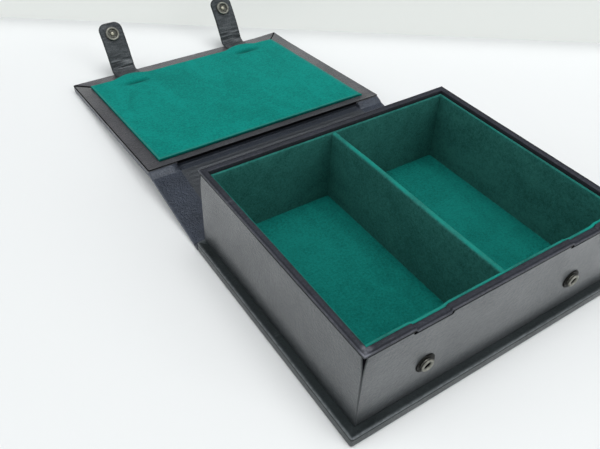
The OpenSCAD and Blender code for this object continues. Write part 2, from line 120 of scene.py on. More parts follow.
# %% Sizes of the tray
LEATHER_T = 0.8 * MM
board_lo, board_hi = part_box("front_wall_board")
stud_lo, stud_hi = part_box("left_stud")
tray_x = board_hi.x + LEATHER_T
tray_y = -board_lo.y + LEATHER_T
rim_z = board_hi.z + LEATHER_T
base_z = board_lo.z
snap_x, stud_z = abs(stud_hi.x + stud_lo.x) / 2, (stud_lo.z + stud_hi.z) / 2
snaps = (-snap_x, snap_x)
print("tray and snaps", in_mm((tray_x, tray_y, rim_z, base_z, snap_x, stud_z), 2))

# %% [markdown]
# ## Camera
# The camera looks down on the box from over its front left corner. It is made first, so that
# each piece can be looked at as soon as it is there.

# %% Camera
scene = bpy.context.scene
camera = bpy.data.objects.new("camera", bpy.data.cameras.new("camera"))
camera.location = (-0.236558, -0.223013, 0.313633)
camera.rotation_euler = [math.radians(a) for a in (48.7387, -1.5084, -33.3440)]
camera.data.lens = 39.59
camera.data.clip_start = 0.01
scene.collection.objects.link(camera)
scene.camera = camera

# %% [markdown]
# ## Helpers for nodes
# The world, the finishes and the Geometry Nodes are all graphs of nodes. Made link by link
# they are hard to read, so a few helpers are defined once. A node is made and filled in one
# call, and what it puts out can be added and multiplied like a number.

# %% Nodes and what they put out
class Value:
    """What a node puts out. Arithmetic on it adds Math nodes, so a formula reads as it is."""

    def __init__(self, socket):
        self.socket = socket
        self.tree = socket.id_data

    def math(self, operation, other=None, first=None, clamp=False):
        pair = (self, other) if first is None else (first, self)
        return out(add(self.tree, "ShaderNodeMath", *pair, operation=operation, use_clamp=clamp))

    def __add__(self, other):
        return self.math("ADD", other)

    def __sub__(self, other):
        return self.math("SUBTRACT", other)

    def __mul__(self, other):
        return self.math("MULTIPLY", other)

    def __truediv__(self, other):
        return self.math("DIVIDE", other)

    def __rsub__(self, other):
        return self.math("SUBTRACT", first=other)

    def __rtruediv__(self, other):
        return self.math("DIVIDE", first=other)


def out(node, key=0):
    return Value(node.outputs[key])


def feed(socket, value):
    """Links a socket to a node or to what it puts out, or sets it to a plain value."""
    if isinstance(value, bpy.types.Node):
        value = out(value)
    if isinstance(value, Value):
        value.tree.links.new(value.socket, socket)
    elif value is not None:
        socket.default_value = (*value, 1) if socket.type == "RGBA" else value


def fill(node, **settings):
    """A setting is one of the node's attributes or the name of an input."""
    for key, value in settings.items():
        if hasattr(node, key):
            setattr(node, key, value)
        else:
            feed(node.inputs[key.replace("_", " ")], value)
    return node


def add(tree, kind, *values, **settings):
    """New node: the values fill its inputs in their order."""
    node = fill(tree.nodes.new(kind), **settings)
    for socket, value in zip(node.inputs, values):
        feed(socket, value)
    return node


def remap(value, low, high, to_low=0.0, to_high=1.0, shape="LINEAR"):
    fit = add(value.tree, "ShaderNodeMapRange", value, low, high, to_low, to_high)
    return out(fill(fit, interpolation_type=shape))


# %% Node groups and materials
def new_tree(kind, name, inputs, outputs):
    """Node group: each socket has its kind, such as Vector, or for a number its first value."""
    tree = bpy.data.node_groups.new(name, kind + "NodeTree")
    for way, sockets in (("INPUT", inputs), ("OUTPUT", outputs)):
        for label, value in sockets.items():
            sort = value if isinstance(value, str) else "Int" if isinstance(value, int) else "Float"
            socket = tree.interface.new_socket(label, in_out=way, socket_type="NodeSocket" + sort)
            if not isinstance(value, str):
                socket.default_value = value
    given = add(tree, "NodeGroupInput")
    return tree, {label: out(given, label) for label in inputs}, add(tree, "NodeGroupOutput")


def new_material(name):
    m = bpy.data.materials.new(name)
    m.use_nodes = True
    return m, m.node_tree, m.node_tree.nodes["Principled BSDF"]


# %% [markdown]
# ## Light
# The box stands on a white table in a bright, soft light. The leather is nearly black, so its
# look is made by what it mirrors: upright walls mirror the white table and turn grey, while
# faces that look up mirror a dimmer room. A world that is brightest low down does the same.
# The camera sees a plain pale world instead.

# %% World light
HORIZON, SHOULDER, OVERHEAD = (0.81, 0.82, 0.815, 1), (0.45, 0.47, 0.49, 1), (0.50, 0.52, 0.55, 1)
SEEN_WORLD = (0.80, 0.83, 0.82)
DIM_SIDE = ((0.57, 0.82, 0.0), 0.15, 0.6, 1.0, 0.2)
CEILING = [((0.08, -0.05, 1.0), 0.91, 0.98, 0.0, 5.0), ((-0.65, 0.2, 0.73), 0.80, 0.95, 0.0, 1.3)]


def toward(rays, direction, low, high, to_low, to_high):
    """Value that changes with the angle between a ray and a direction."""
    aim = Vector(direction).normalized()
    dot = add(rays.tree, "ShaderNodeVectorMath", rays, aim, operation="DOT_PRODUCT")
    return remap(out(dot, "Value"), low, high, to_low, to_high, "SMOOTHSTEP")


def make_world(tree):
    tree.nodes.clear()
    rays = out(add(tree, "ShaderNodeTexCoord"), "Generated")
    tones = add(tree, "ShaderNodeValToRGB", out(add(tree, "ShaderNodeSeparateXYZ", rays), "Z"))
    stops = tones.color_ramp.elements
    stops[0].color, stops[1].color = HORIZON, OVERHEAD
    stops.new(0.25).color = HORIZON
    stops.new(0.45).color = SHOULDER
    total = add(tree, "ShaderNodeBackground", tones, toward(rays, *DIM_SIDE))
    for patch in CEILING:
        total = add(tree, "ShaderNodeAddShader", total,
                    add(tree, "ShaderNodeBackground", Strength=toward(rays, *patch)))
    seen = add(tree, "ShaderNodeBackground", SEEN_WORLD, 1.0)
    by_camera = out(add(tree, "ShaderNodeLightPath"), "Is Camera Ray")
    add(tree, "ShaderNodeOutputWorld", add(tree, "ShaderNodeMixShader", by_camera, total, seen))


scene.view_settings.view_transform = "Standard"
scene.world = bpy.data.worlds.new("soft room")
scene.world.use_nodes = True
make_world(scene.world.node_tree)

# %% Lamp
window = bpy.data.objects.new("window", bpy.data.lights.new("window", "AREA"))
window.data.shape = "DISK"
window.data.size = 1.53
window.data.energy = 16.9
window.location = (0.85, -2.21, 1.17)
window.rotation_euler = (Vector((0, 0, 0.03)) - window.location).to_track_quat("-Z", "Y").to_euler()
scene.collection.objects.link(window)
print("lamp:", window.name, round(window.data.energy, 1), "W")

# %% [markdown]
# ## Table and wall behind it
# Both belong to the setting and not to the object. The wall is see-through from behind, so
# that it never stands between the camera and the box in a view from another side. Part of its
# light is its own, so that it looks even; its upper part only shows, and throws no light.

# %% Table and wall
SELF_LIT, ALWAYS = 0.7, 0.3
TABLE_REACH, TABLE_Z = 4, -0.2 * MM
WALL_REACH, WALL_LOW, WALL_TOP = 3, 0.09, 1.5


def scaled(colour, share):
    return [c * share for c in colour]


def plain_material(name, colour, even=0.0):
    """A matt colour; even is the share of its light that no shadow dims, seen or mirrored."""
    m, tree, shader = new_material(name)
    path = add(tree, "ShaderNodeLightPath")
    seen = out(path, "Is Camera Ray").math("MAXIMUM", out(path, "Is Glossy Ray"))
    fill(shader, Base_Color=scaled(colour, 1 - even), Emission_Color=scaled(colour, 0.96),
         Emission_Strength=seen * ((1 - ALWAYS) * even) + ALWAYS * even,
         Roughness=1.0, Specular_IOR_Level=0.0)
    return m


def see_through_from_behind(m, only_seen=False):
    """Clear from behind; with only_seen also clear to every ray but the camera's."""
    tree = m.node_tree
    clear = out(add(tree, "ShaderNodeNewGeometry"), "Backfacing")
    if only_seen:
        clear = clear.math("MAXIMUM", 1.0 - out(add(tree, "ShaderNodeLightPath"), "Is Camera Ray"))
    either = add(tree, "ShaderNodeMixShader", clear, tree.nodes["Principled BSDF"],
                 add(tree, "ShaderNodeBsdfTransparent"))
    feed(tree.nodes["Material Output"].inputs["Surface"], either)
    return m


def flat_piece(name, corners, material):
    mesh = bpy.data.meshes.new(name)
    mesh.from_pydata(corners, [], [tuple(range(len(corners)))])
    mesh.materials.append(material)
    o = bpy.data.objects.new(name, mesh)
    scene.collection.objects.link(o)
    o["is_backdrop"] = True


corners = [(x * TABLE_REACH, y * TABLE_REACH, TABLE_Z) for x, y in ((-1, -1), (1, -1), (1, 1), (-1, 1))]
flat_piece("table", corners, plain_material("table white", (0.825, 0.838, 0.832)))
wall_left, wall_right = Vector((-0.1235, 0.5305, 0)), Vector((0.4059, 0.1494, 0))
reach = WALL_REACH * (wall_right - wall_left).normalized()
for name, low, high in (("wall", 0, WALL_LOW), ("wall upper part", WALL_LOW, WALL_TOP)):
    ends = ((wall_left - reach, low), (wall_right + reach, low), (wall_right + reach, high),
            (wall_left - reach, high))
    grey = plain_material(name + " grey", (0.825, 0.855, 0.830), SELF_LIT)
    flat_piece(name, [end + Vector((0, 0, z)) for end, z in ends],
               see_through_from_behind(grey, only_seen=low > 0))

# %% [markdown]
# ## Finishes
# Three finishes make the box: smooth dark leather, green velvet and aged metal. The patterns
# that several of them need are node groups: leather grain, velvet nap and worn patches. Each
# group only puts out values that vary over the surface, and each material feeds them to its
# own shader with its own colours.

# %% Noise in a finish
def noise_node(place, scale, detail=2.0, rough=0.5, distort=0.0):
    node = add(place.tree, "ShaderNodeTexNoise", Vector=place, Scale=scale, Detail=detail)
    return out(fill(node, Roughness=rough, Distortion=distort), "Fac")


def drawn_out(place, factors):
    """The same place with a factor on each direction, for a pattern that is long one way."""
    return out(add(place.tree, "ShaderNodeVectorMath", place, factors, operation="MULTIPLY"))


def numbers(*labels):
    return {label: 0.0 for label in labels}


# %% [markdown]
# Leather grain is a net of fine creases round small flat cells, with a softer swell under it
# and a few long pull marks. A cell pattern gives the net, and its edges are smoothed so that
# they read as creases and not as cracks.

# %% Leather grain group
def make_grain():
    tree, given, result = new_tree("Shader", "leather grain", {"Vector": "Vector", "Cell Size": 0.0009},
                                   numbers("Height", "Creases", "Patches"))
    place = given["Vector"]
    bend = noise_node(place, 900.0, 1.0)
    shifted = add(tree, "ShaderNodeVectorMath", add(tree, "ShaderNodeCombineXYZ", bend, None, bend),
                  (0.0005, 0.0, 0.0005), place, operation="MULTIPLY_ADD")
    cells = add(tree, "ShaderNodeTexVoronoi", feature="DISTANCE_TO_EDGE", Vector=shifted,
                Scale=1.0 / given["Cell Size"])
    net = remap(out(cells, "Distance"), 0.0, 0.28)
    swell = noise_node(place, 520.0, 3.0, 0.6)
    streaks = noise_node(drawn_out(place, (60.0, 90.0, 14.0)), 1.0, 3.0, 0.6, 0.6)
    broad, speckle = noise_node(place, 38.0, 4.0, 0.62), noise_node(place, 760.0, 2.0, 0.7)
    fill(result, Height=net * 0.35 + swell * 1.6 + streaks * 0.8, Creases=1.0 - net,
         Patches=remap(broad * 0.5 + speckle * 0.5, 0.36, 0.64))
    return tree


grain_group = make_grain()

# %% [markdown]
# Velvet is a dense pile of short threads. Where the pile leans towards the eye it looks darker,
# and where it leans away it shines, so a hand leaves soft patches and streaks. The group gives
# those patches, a fine sparkle of single tufts, and a height for the pile.

# %% Velvet nap group
def make_nap():
    tree, given, result = new_tree("Shader", "velvet nap", {"Vector": "Vector"},
                                   numbers("Height", "Patches", "Tufts"))
    place = given["Vector"]
    hand = noise_node(drawn_out(place, (1.0, 0.45, 1.0)), 34.0, 3.0, 0.55, 0.8)
    soft = noise_node(place, 150.0, 3.0, 0.6)
    clumps = noise_node(place, 560.0, 2.0, 0.75)
    tufts = noise_node(place, 1500.0, 2.0, 0.6)
    fill(result, Height=tufts + soft * 0.7 + clumps, Tufts=remap(tufts, 0.3, 0.7),
         Patches=remap(clumps * 0.50 + hand * 0.32 + soft * 0.18, 0.40, 0.60))
    return tree


nap_group = make_nap()

# %% [markdown]
# Leather and metal both wear: fine scratches run over them, and edges that are touched turn
# lighter. The pieces carry a value on their points that holds this wear together with painted
# light: it is 1 along a rubbed edge or where a highlight is painted, and -1 where painted shade
# turns a fold, a seam or a slot nearly black; this group breaks up the light part so that it
# looks patchy.

# %% Group for wear and painted highlights
def make_wear_and_painted_light():
    tree, given, result = new_tree("Shader", "wear_and_painted_light", {"Vector": "Vector", "Rubbed": 0.0},
                                   numbers("Edge", "Scratches"))
    place = given["Vector"]
    spots = remap(noise_node(place, 420.0, 4.0, 0.7), 0.35, 0.7)
    lines = noise_node(drawn_out(place, (35.0, 420.0, 260.0)), 1.0, 2.0, 0.5, 2.5)
    fill(result, Edge=given["Rubbed"].math("MULTIPLY", spots + 0.35, clamp=True),
         Scratches=remap(lines, 0.66, 0.7) * remap(noise_node(place, 55.0), 0.5, 0.66))
    return tree


wear_and_painted_light_group = make_wear_and_painted_light()

# %% Building blocks of a finish
def new_finish(name):
    m, tree, shader = new_material(name)
    return m, shader, out(add(tree, "ShaderNodeTexCoord"), "Object")


def wear_and_painted_light_at(place):
    """Two shares of a piece's points: rubbed wear with painted highlight, and painted shade."""
    wear_and_painted_light = out(add(place.tree, "ShaderNodeAttribute", attribute_name="wear_and_painted_light"), "Fac")
    return wear_and_painted_light.math("MAXIMUM", 0.0), (wear_and_painted_light * -1.0).math("MAXIMUM", 0.0)


def use_group(place, source, *labels, **values):
    n = add(place.tree, "ShaderNodeGroup", node_tree=source, Vector=place, **values)
    return [out(n, label) for label in labels]


def mix_colour(share, a, b):
    n = add(share.tree, "ShaderNodeMix", share, data_type="RGBA")
    feed(n.inputs[6], a)
    feed(n.inputs[7], b)
    return out(n, 2)


def bump(height, depth, strength=1.0):
    return add(height.tree, "ShaderNodeBump", Height=height, Distance=depth, Strength=strength)


# %% [markdown]
# ### Leather
# The case leather is a smooth, nearly black calfskin with a satin glaze. Its colour wanders a
# little between blue and brown, the glaze is duller in the creases, and the edges are rubbed
# lighter; painted highlights take the same light colour, and painted shade turns folds nearly
# black. The spine and the joints are the same skin in a bluer piece, so one function makes them
# all. The lid's skin is painted lighter, as a painted sheen on the lid's margins.

# %% Leather materials
def make_leather(name, deep, light, rubbed_and_lit, rough, coat, shine, tint, depth, cell=0.0009, marks=0.3):
    m, shader, place = new_finish(name)
    # The first share lightens rubbed edges and painted highlights; the second is painted shade, which makes
    # folds, seams and the slot nearly black and without glaze.
    worn_and_painted_light, fold = wear_and_painted_light_at(place)
    height, creases, patches = use_group(place, grain_group, "Height", "Creases", "Patches", Cell_Size=cell)
    edge, scratches = use_group(place, wear_and_painted_light_group, "Edge", "Scratches", Rubbed=worn_and_painted_light)
    skin = mix_colour(patches, deep, light)
    skin = mix_colour(creases * 0.5, skin, scaled(deep, 0.5))
    skin = mix_colour(edge, skin, rubbed_and_lit)
    skin = mix_colour(scratches * marks, skin, rubbed_and_lit)
    dull = remap(patches, 0.0, 1.0, rough + 0.06, rough - 0.06) + creases * 0.06
    glaze = remap(patches, 0.0, 1.0, coat * 0.75, coat * 1.25)
    fill(shader, Base_Color=mix_colour(fold, skin, (0.001, 0.001, 0.001)),
         Roughness=dull.math("ADD", fold * 0.5, clamp=True),
         Coat_Weight=glaze.math("MULTIPLY", 1.0 - fold, clamp=True), Coat_Roughness=0.25,
         Specular_IOR_Level=shine, Specular_Tint=tint, Normal=bump(height, depth, 0.6))
    return m


wall_leather = make_leather(
    "wall leather", (0.004, 0.005, 0.006), (0.014, 0.016, 0.018), (0.10, 0.105, 0.11),
    rough=0.35, coat=0.70, shine=1.0, tint=(0.87, 0.95, 1.0), depth=0.0007)
# The lid's colours are much lighter than the other pieces of the same skin: painted light, a painted sheen on
# the lid's margins.
lit_lid_leather = make_leather(
    "lid leather", (0.028, 0.025, 0.029), (0.080, 0.075, 0.084), (0.19, 0.195, 0.20),
    rough=0.37, coat=0.42, shine=0.9, tint=(0.92, 0.95, 1.0), depth=0.0009, cell=0.0011)
rim_leather = make_leather(
    "rim leather", (0.003, 0.0035, 0.006), (0.024, 0.026, 0.039), (0.17, 0.175, 0.20),
    rough=0.40, coat=0.08, shine=0.5, tint=(0.85, 0.90, 1.0), depth=0.0003, marks=0.2)
case_leather = make_leather(
    "case leather", (0.001, 0.002, 0.002), (0.018, 0.023, 0.023), (0.15, 0.16, 0.17),
    rough=0.36, coat=0.22, shine=0.55, tint=(0.80, 0.95, 1.0), depth=0.0004)
spine_leather = make_leather(
    "spine leather", (0.001, 0.002, 0.009), (0.032, 0.040, 0.062), (0.10, 0.11, 0.13),
    rough=0.40, coat=0.20, shine=0.7, tint=(0.78, 0.88, 1.0), depth=0.0008, cell=0.0013)
lining_leather = make_leather(
    "lining leather", (0.006, 0.008, 0.010), (0.026, 0.028, 0.034), (0.12, 0.125, 0.14),
    rough=0.42, coat=0.22, shine=0.8, tint=(0.86, 0.93, 1.0), depth=0.0003)
tab_leather = make_leather(
    "tab leather", (0.001, 0.002, 0.003), (0.080, 0.085, 0.092), (0.15, 0.155, 0.16),
    rough=0.45, coat=0.08, shine=0.6, tint=(0.85, 0.95, 1.0), depth=0.0007, cell=0.0018)

# %% [markdown]
# ### Velvet, seams, metal and board
# A rough, dark green ground with a sheen on top gives velvet its glow at grazing angles. The
# nap group shifts the green between a brushed, lighter tone and a deeper one. Velvet edges get a
# painted highlight and its creases painted shade, and the velvet inside the tray is painted
# darker as shade. The bottom of a gap between two leathers is painted shade: black, with no
# shine. The snaps are brass that has gone dull and brown, lighter on top where the tabs rub them
# and where a highlight is painted; the stud flanges and holes are painted dark as shade, and the
# socket posts are a brighter brass as a painted highlight. The boards are hidden but for a dark
# edge.

# %% Velvet materials
def make_velvet(name, deep, light, edge):
    m, shader, place = new_finish(name)
    # The first share is a painted highlight along edges, the second painted shade in creases and on shaded
    # sides.
    worn_and_painted_light, painted_crease_shade = wear_and_painted_light_at(place)
    height, patches, tufts = use_group(place, nap_group, "Height", "Patches", "Tufts")
    cloth = mix_colour(patches, deep, light)
    cloth = mix_colour(tufts * 0.5, cloth, scaled(light, 1.35))
    cloth = mix_colour(painted_crease_shade, cloth, scaled(deep, 0.12))
    fill(shader, Base_Color=mix_colour(worn_and_painted_light, cloth, edge), Roughness=0.95, Specular_IOR_Level=0.1,
         Sheen_Weight=0.12, Sheen_Roughness=0.4, Sheen_Tint=(0.15, 0.9, 0.8),
         Normal=bump(height, 0.0003, 0.7))
    return m


# The third colour is the painted highlight of the edges. The floor and lining velvets are darker copies of
# the pad's: painted shade inside the tray.
pad_velvet = make_velvet("pad velvet", (0.001, 0.116, 0.096), (0.003, 0.230, 0.192), (0.075, 0.20, 0.18))
floor_velvet = make_velvet("floor velvet", (0.001, 0.078, 0.065), (0.005, 0.170, 0.143), (0.01, 0.25, 0.21))
lining_velvet = make_velvet("lining velvet", (0.007, 0.056, 0.048), (0.027, 0.140, 0.120),
                            (0.008, 0.27, 0.22))


# %% Metal, board and seam materials
def make_metal(name, bright, dark, rough):
    m, shader, place = new_finish(name)
    # The first share lightens rubbed tops and painted highlights; the second is painted shade in holes and
    # troughs, nearly black.
    worn_and_painted_light, hollow = wear_and_painted_light_at(place)
    edge, = use_group(place, wear_and_painted_light_group, "Edge", Rubbed=worn_and_painted_light)
    stain = remap(noise_node(place, 520.0, 4.0, 0.65), 0.38, 0.66)
    skin = mix_colour(edge, mix_colour(stain, bright, dark), [min(1.0, c * 1.35) for c in bright])
    fill(shader, Base_Color=mix_colour(hollow, skin, (0.004, 0.004, 0.003)), Metallic=0.9,
         Roughness=remap(stain, 0.0, 1.0, rough, rough + 0.25), Normal=bump(stain, 0.00003, 0.5))
    return m


def make_board(name, colour):
    m, shader, place = new_finish(name)
    fibres = noise_node(place, 700.0, 4.0, 0.7)
    fill(shader, Base_Color=mix_colour(remap(fibres, 0.3, 0.7), colour, scaled(colour, 1.6)),
         Roughness=0.9, Normal=bump(fibres, 0.00008))
    return m


# A black without shine: painted shade for the deepest folds, seams and gaps.
def make_painted_shade(name, colour):
    m, shader, place = new_finish(name)
    fill(shader, Base_Color=mix_colour(noise_node(place, 1200.0), colour, scaled(colour, 3)),
         Roughness=1.0, Specular_IOR_Level=0.0)
    return m


# The bright brass is a painted highlight on the socket posts; the dark brass is painted shade on the stud
# flanges.
snap_metal = make_metal("aged brass", (0.20, 0.20, 0.175), (0.075, 0.075, 0.066), 0.38)
highlit_brass = make_metal("rubbed brass", (0.52, 0.50, 0.40), (0.24, 0.235, 0.185), 0.28)
shaded_brass = make_metal("dark brass", (0.018, 0.018, 0.016), (0.005, 0.005, 0.004), 0.45)
board_brown = make_board("binder's board", (0.012, 0.011, 0.010))
painted_shade_black = make_painted_shade("seam black", (0.002, 0.002, 0.0025))
print("finishes:", [m.name for m in bpy.data.materials])

# %% [markdown]
# ## Making a piece
# Every piece below is a list of points and faces that is closed all round. This helper turns
# the list into an object, joins doubled points, makes the faces point outwards, shades it, and
# puts it on its body. Faces whose points all lie deep in painted shade get a black without shine,
# which is painted shade too.

# %% Piece helper
SAME_POINT, SAME_LINE = 1e-6, 1e-7


def set_wear_and_painted_light(mesh, values):
    """On every point: from -1, painted shade deep in a fold, to 1, light from rubbing or a painted highlight.
    """
    mesh.attributes.new("wear_and_painted_light", "FLOAT", "POINT").data.foreach_set("value", values)


def make_piece(name, verts, faces, material, body, replaces, smooth=35, wear_and_painted_light=None, place=HERE):
    mesh = bpy.data.meshes.new(name)
    mesh.from_pydata([tuple(place @ Vector(v)) for v in verts], [], faces)
    if wear_and_painted_light is not None:
        set_wear_and_painted_light(mesh, wear_and_painted_light)
    return finish_piece(name, mesh, material, body, replaces, smooth)


def finish_piece(name, mesh, material, body, replaces=(), smooth=35):
    bm = bmesh.new()
    bm.from_mesh(mesh)
    bmesh.ops.remove_doubles(bm, verts=bm.verts, dist=SAME_POINT)
    bmesh.ops.dissolve_degenerate(bm, edges=bm.edges, dist=SAME_LINE)
    bmesh.ops.recalc_face_normals(bm, faces=bm.faces)
    open_edges = sum(len(e.link_faces) != 2 for e in bm.edges)
    wear_and_painted_light = bm.verts.layers.float.get("wear_and_painted_light")
    # faces that lie wholly in deep painted shade get the black of painted shade
    deep = [wear_and_painted_light is not None and all(v[wear_and_painted_light] < -0.6 for v in f.verts) for f in bm.faces]
    bm.to_mesh(mesh)
    bm.free()
    mesh.materials.clear()
    mesh.materials.append(material)
    if any(deep):
        mesh.materials.append(painted_shade_black)
    mesh.polygons.foreach_set("material_index", [int(d) for d in deep])
    mesh.polygons.foreach_set("use_smooth", [True] * len(deep))
    mesh.set_sharp_from_angle(angle=math.radians(smooth))
    o = bpy.data.objects.new(name, mesh)
    scene.collection.objects.link(o)
    if replaces:
        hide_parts(*replaces)
    if body:
        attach(o, body)
    print(f"{name}: {len(deep)} faces, {open_edges} open edges")
    return o


# %% Small shapes used again and again
def ripple(point, size, amount, seed=0.0):
    """A small smooth shift at a point, between -amount and amount."""
    return amount * noise.noise(Vector(point) / size + Vector((seed, seed * 1.7, seed * 0.3)))


def share_of(v, low=0.0, high=1.0):
    """How far v has come from low to high, between 0 and 1."""
    return min(max((v - low) / (high - low), 0.0), 1.0)


def smooth_step(v, low=0.0, high=1.0):
    t = share_of(v, low, high)
    return t * t * (3 - 2 * t)


def bell(v, width):
    """1 at 0, falling softly to nothing a few widths away."""
    return math.exp(-(v / width) ** 2)


# %% [markdown]
# ## Leather folded round a rectangle
# The base, the lid, the tray's walls and its rim are all one idea: an outline of leather that
# runs round a rectangle and is joined at the four corners. A profile, drawn once, is carried
# round the rectangle. At each corner five columns of points make the seam: a groove where two
# leathers meet, or a small ridge where they overlap. A sweep along a curve would pinch at the
# sharp corners, so the columns are placed one by one.

# %% Profile carried round a rectangle
TRAVEL = ((1, 0), (0, 1), (-1, 0), (0, -1))
OUTWARD = ((0, -1), (1, 0), (0, 1), (-1, 0))
SEAM_SHAPE = {-2: 0.0, -1: 0.9, 0: 1.0, 1: 0.9, 2: 0.0}
SEAM_PLACE = {-2: 1.0, -1: 0.72, 0: 0.0, 1: 0.72, 2: 1.0}
# seam points sunk deeper than this are painted black as shade
DEEP_SEAM = 0.35 * MM


def ring(half, inset, width, radius, stations, wide):
    """Points of one ring: place, outward direction, side, distance along it or None, seam column."""
    points = []
    for k in range(4):
        (dx, dy), (ox, oy) = TRAVEL[k], OUTWARD[k]
        (ex, ey), (nx, ny) = TRAVEL[(k + 1) % 4], OUTWARD[(k + 1) % 4]
        reach = half[1 - k % 2] - inset
        points += [(dx * s + ox * reach, dy * s + oy * reach, ox, oy, k, s, 0) for s in stations[k]]
        keep, arc = max(inset, radius), max(radius - inset, 0)
        cx, cy = (ox + nx) * (half[0] - keep), (oy + ny) * (half[1] - keep)
        for q in (-2, -1, 0, 1, 2):
            turn, slip = (q + 2) * math.pi / 8, width * wide[k] * SEAM_PLACE[q]
            px = cx + arc * (ox * math.cos(turn) + nx * math.sin(turn))
            py = cy + arc * (oy * math.cos(turn) + ny * math.sin(turn))
            if q < 0:
                points.append((px - dx * slip, py - dy * slip, ox, oy, k, None, q))
            elif q > 0:
                points.append((px + ex * slip, py + ey * slip, nx, ny, k, None, q))
            else:
                points.append((px, py, ox + nx, oy + ny, k, None, q))
    return points


def wrap(name, centre, half, profile, stations, radius, material, body, replaces,
         place=HERE, loop=False, nudge=None, wide=(1, 1, 1, 1), shade=lambda i, side, s, worn_and_painted_light: worn_and_painted_light):
    """profile rows: inset from the outline, height, seam half width, seam depth, wear and painted light."""
    verts, wear_and_painted_light, rings = [], [], len(profile)
    for i, (inset, height, width, depth, worn_and_painted_light) in enumerate(profile):
        a = profile[i - 1 if i or loop else i]
        b = profile[(i + 1) % rings if i + 1 < rings or loop else i]
        outward, up = b[1] - a[1], b[0] - a[0]
        size = math.hypot(outward, up) or 1.0
        for x, y, nx, ny, side, s, q in ring(half, inset, width, radius, stations, wide):
            sink = depth * SEAM_SHAPE[q] * min(1.0, wide[side]) if s is None else 0.0
            p = Vector((centre[0] + x - nx * sink * outward / size,
                        centre[1] + y - ny * sink * outward / size, height - sink * up / size))
            if nudge:
                p = p + Vector(nudge(i, side, s, p))
            verts.append(p)
            wear_and_painted_light.append(-1.0 if sink > DEEP_SEAM else shade(i, side, s, worn_and_painted_light))
    count = len(verts) // rings
    faces = []
    for i in range(rings if loop else rings - 1):
        a, b = i * count, (i + 1) % rings * count
        faces += [(a + n, a + (n + 1) % count, b + (n + 1) % count, b + n) for n in range(count)]
    if not loop:
        faces += [tuple(range(count)), tuple(reversed(range((rings - 1) * count, rings * count)))]
    return make_piece(name, verts, faces, material, body, replaces, wear_and_painted_light=wear_and_painted_light, place=place)


def even(half_length, step, extra=()):
    """Sorted places along a side, about a step apart, with extra ones kept."""
    n = max(1, round(2 * half_length / step))
    places = [-half_length + 2 * half_length * i / n for i in range(n + 1)]
    return sorted([p for p in places if all(abs(p - e) > 0.3 * step for e in extra)] + list(extra))


def all_round(long_half, short_half, step, extra=()):
    """The same for the four sides of a rectangle, in millimetres, with the extra ones on the first."""
    long_half, short_half, step = long_half * MM, short_half * MM, step * MM
    short_side = even(short_half, step)
    return [even(long_half, step, extra), short_side, even(long_half, step), short_side]


def round_edge(r, low=None, high=None, steps=4):
    """Quarter circle from a lower face to the side, or from the side to an upper face: (inset, height)."""
    turns = [math.pi / 2 * i / steps for i in range(steps + 1)]
    if high is None:
        return [(r - r * math.sin(a), low + r - r * math.cos(a)) for a in turns]
    return [(r - r * math.cos(a), high - r + r * math.sin(a)) for a in turns]


# %% [markdown]
# ## Base
# The base is a thick board in leather, turned in at the edges with a mitre at each corner. Only
# its edges and a narrow strip round the tray can be seen.

# %% Base cover
BOARD_CORNER = 1.3 * MM


def board_profile(low, high, mitre_from, mitre_depth, top_painted_light, edge_painted_light, side_painted_light, groove_painted_light=-1.0):
    """A wrapped board: round lower edge, a crease below the upper edge, mitres on top."""
    mitre_to, middle = 20 * MM, 22 * MM
    # the last value of each row is painted light: above 0 a painted highlight, below 0 painted shade, on the
    # top strip, the upper edge, the side and the crease
    rows = [(middle, low, 0), (4.2 * MM, low, 0)]
    rows += [(i, h, 0.2) for i, h in round_edge(1.2 * MM, low=low)]
    rows += [(0, (low + high) / 2, side_painted_light)]
    rows += [(i * MM, high - h * MM, w) for i, h, w in ((0, 2.0, side_painted_light), (0.25, 1.75, groove_painted_light),
                                                        (0.25, 1.2, groove_painted_light), (0, 1.0, 0.1))]
    rows += [(i, h, edge_painted_light) for i, h in round_edge(0.6 * MM, high=high)]
    rows = [(i, h, 0.3 * MM, 0, worn_and_painted_light) for i, h, worn_and_painted_light in rows]
    mitre = (mitre_from, mitre_from + 3 * MM, mitre_to)
    rows += [(at, high, 0.6 * MM, mitre_depth, top_painted_light) for at in mitre]
    return rows + [(middle, high, 0.45 * MM, 0.1 * MM, 0)]


def halves(lo, hi):
    """Centre and half size of a box, in the plane of a board."""
    return ((hi.x + lo.x) / 2, (hi.y + lo.y) / 2), ((hi.x - lo.x) / 2, (hi.y - lo.y) / 2)


def base_nudge(i, side, s, p):
    if p.z <= 1 * MM:
        return 0, 0, 0
    return ripple(p, 0.05, 0.12 * MM, 1), ripple(p, 0.05, 0.12 * MM, 2), 0


base_lo, base_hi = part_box("base_cover")
# The base's top strip round the tray gets painted shade, its upper edge a painted highlight line, its crease
# painted shade.
base_profile = board_profile(base_lo.z, base_hi.z, mitre_from=2 * MM, mitre_depth=0.2 * MM, top_painted_light=-0.4,
                             edge_painted_light=0.6, side_painted_light=0.05)
wrap("base_wrap", *halves(base_lo, base_hi), base_profile, all_round(80, 62, 8), BOARD_CORNER, case_leather,
     "box", ["base_cover"], nudge=base_nudge)

# %% [markdown]
# ## Tray walls
# Four panels of leather cover the walls. They meet in a seam at each corner, and the seam opens
# like a V towards the rim, where the leather is stretched over the board. A notch in the front
# rim makes room for each closed tab, so the panel below it stops lower.

# %% Notches and corner seams
SIDES = ("front", "back", "left", "right")
NOTCH_HALF, NOTCH_DROP = 11.6 * MM, 1.8 * MM
WALL_NOTCH, RIM_NOTCH = (1.6 * MM, 0.4 * MM), (0.0, 0.5 * MM)


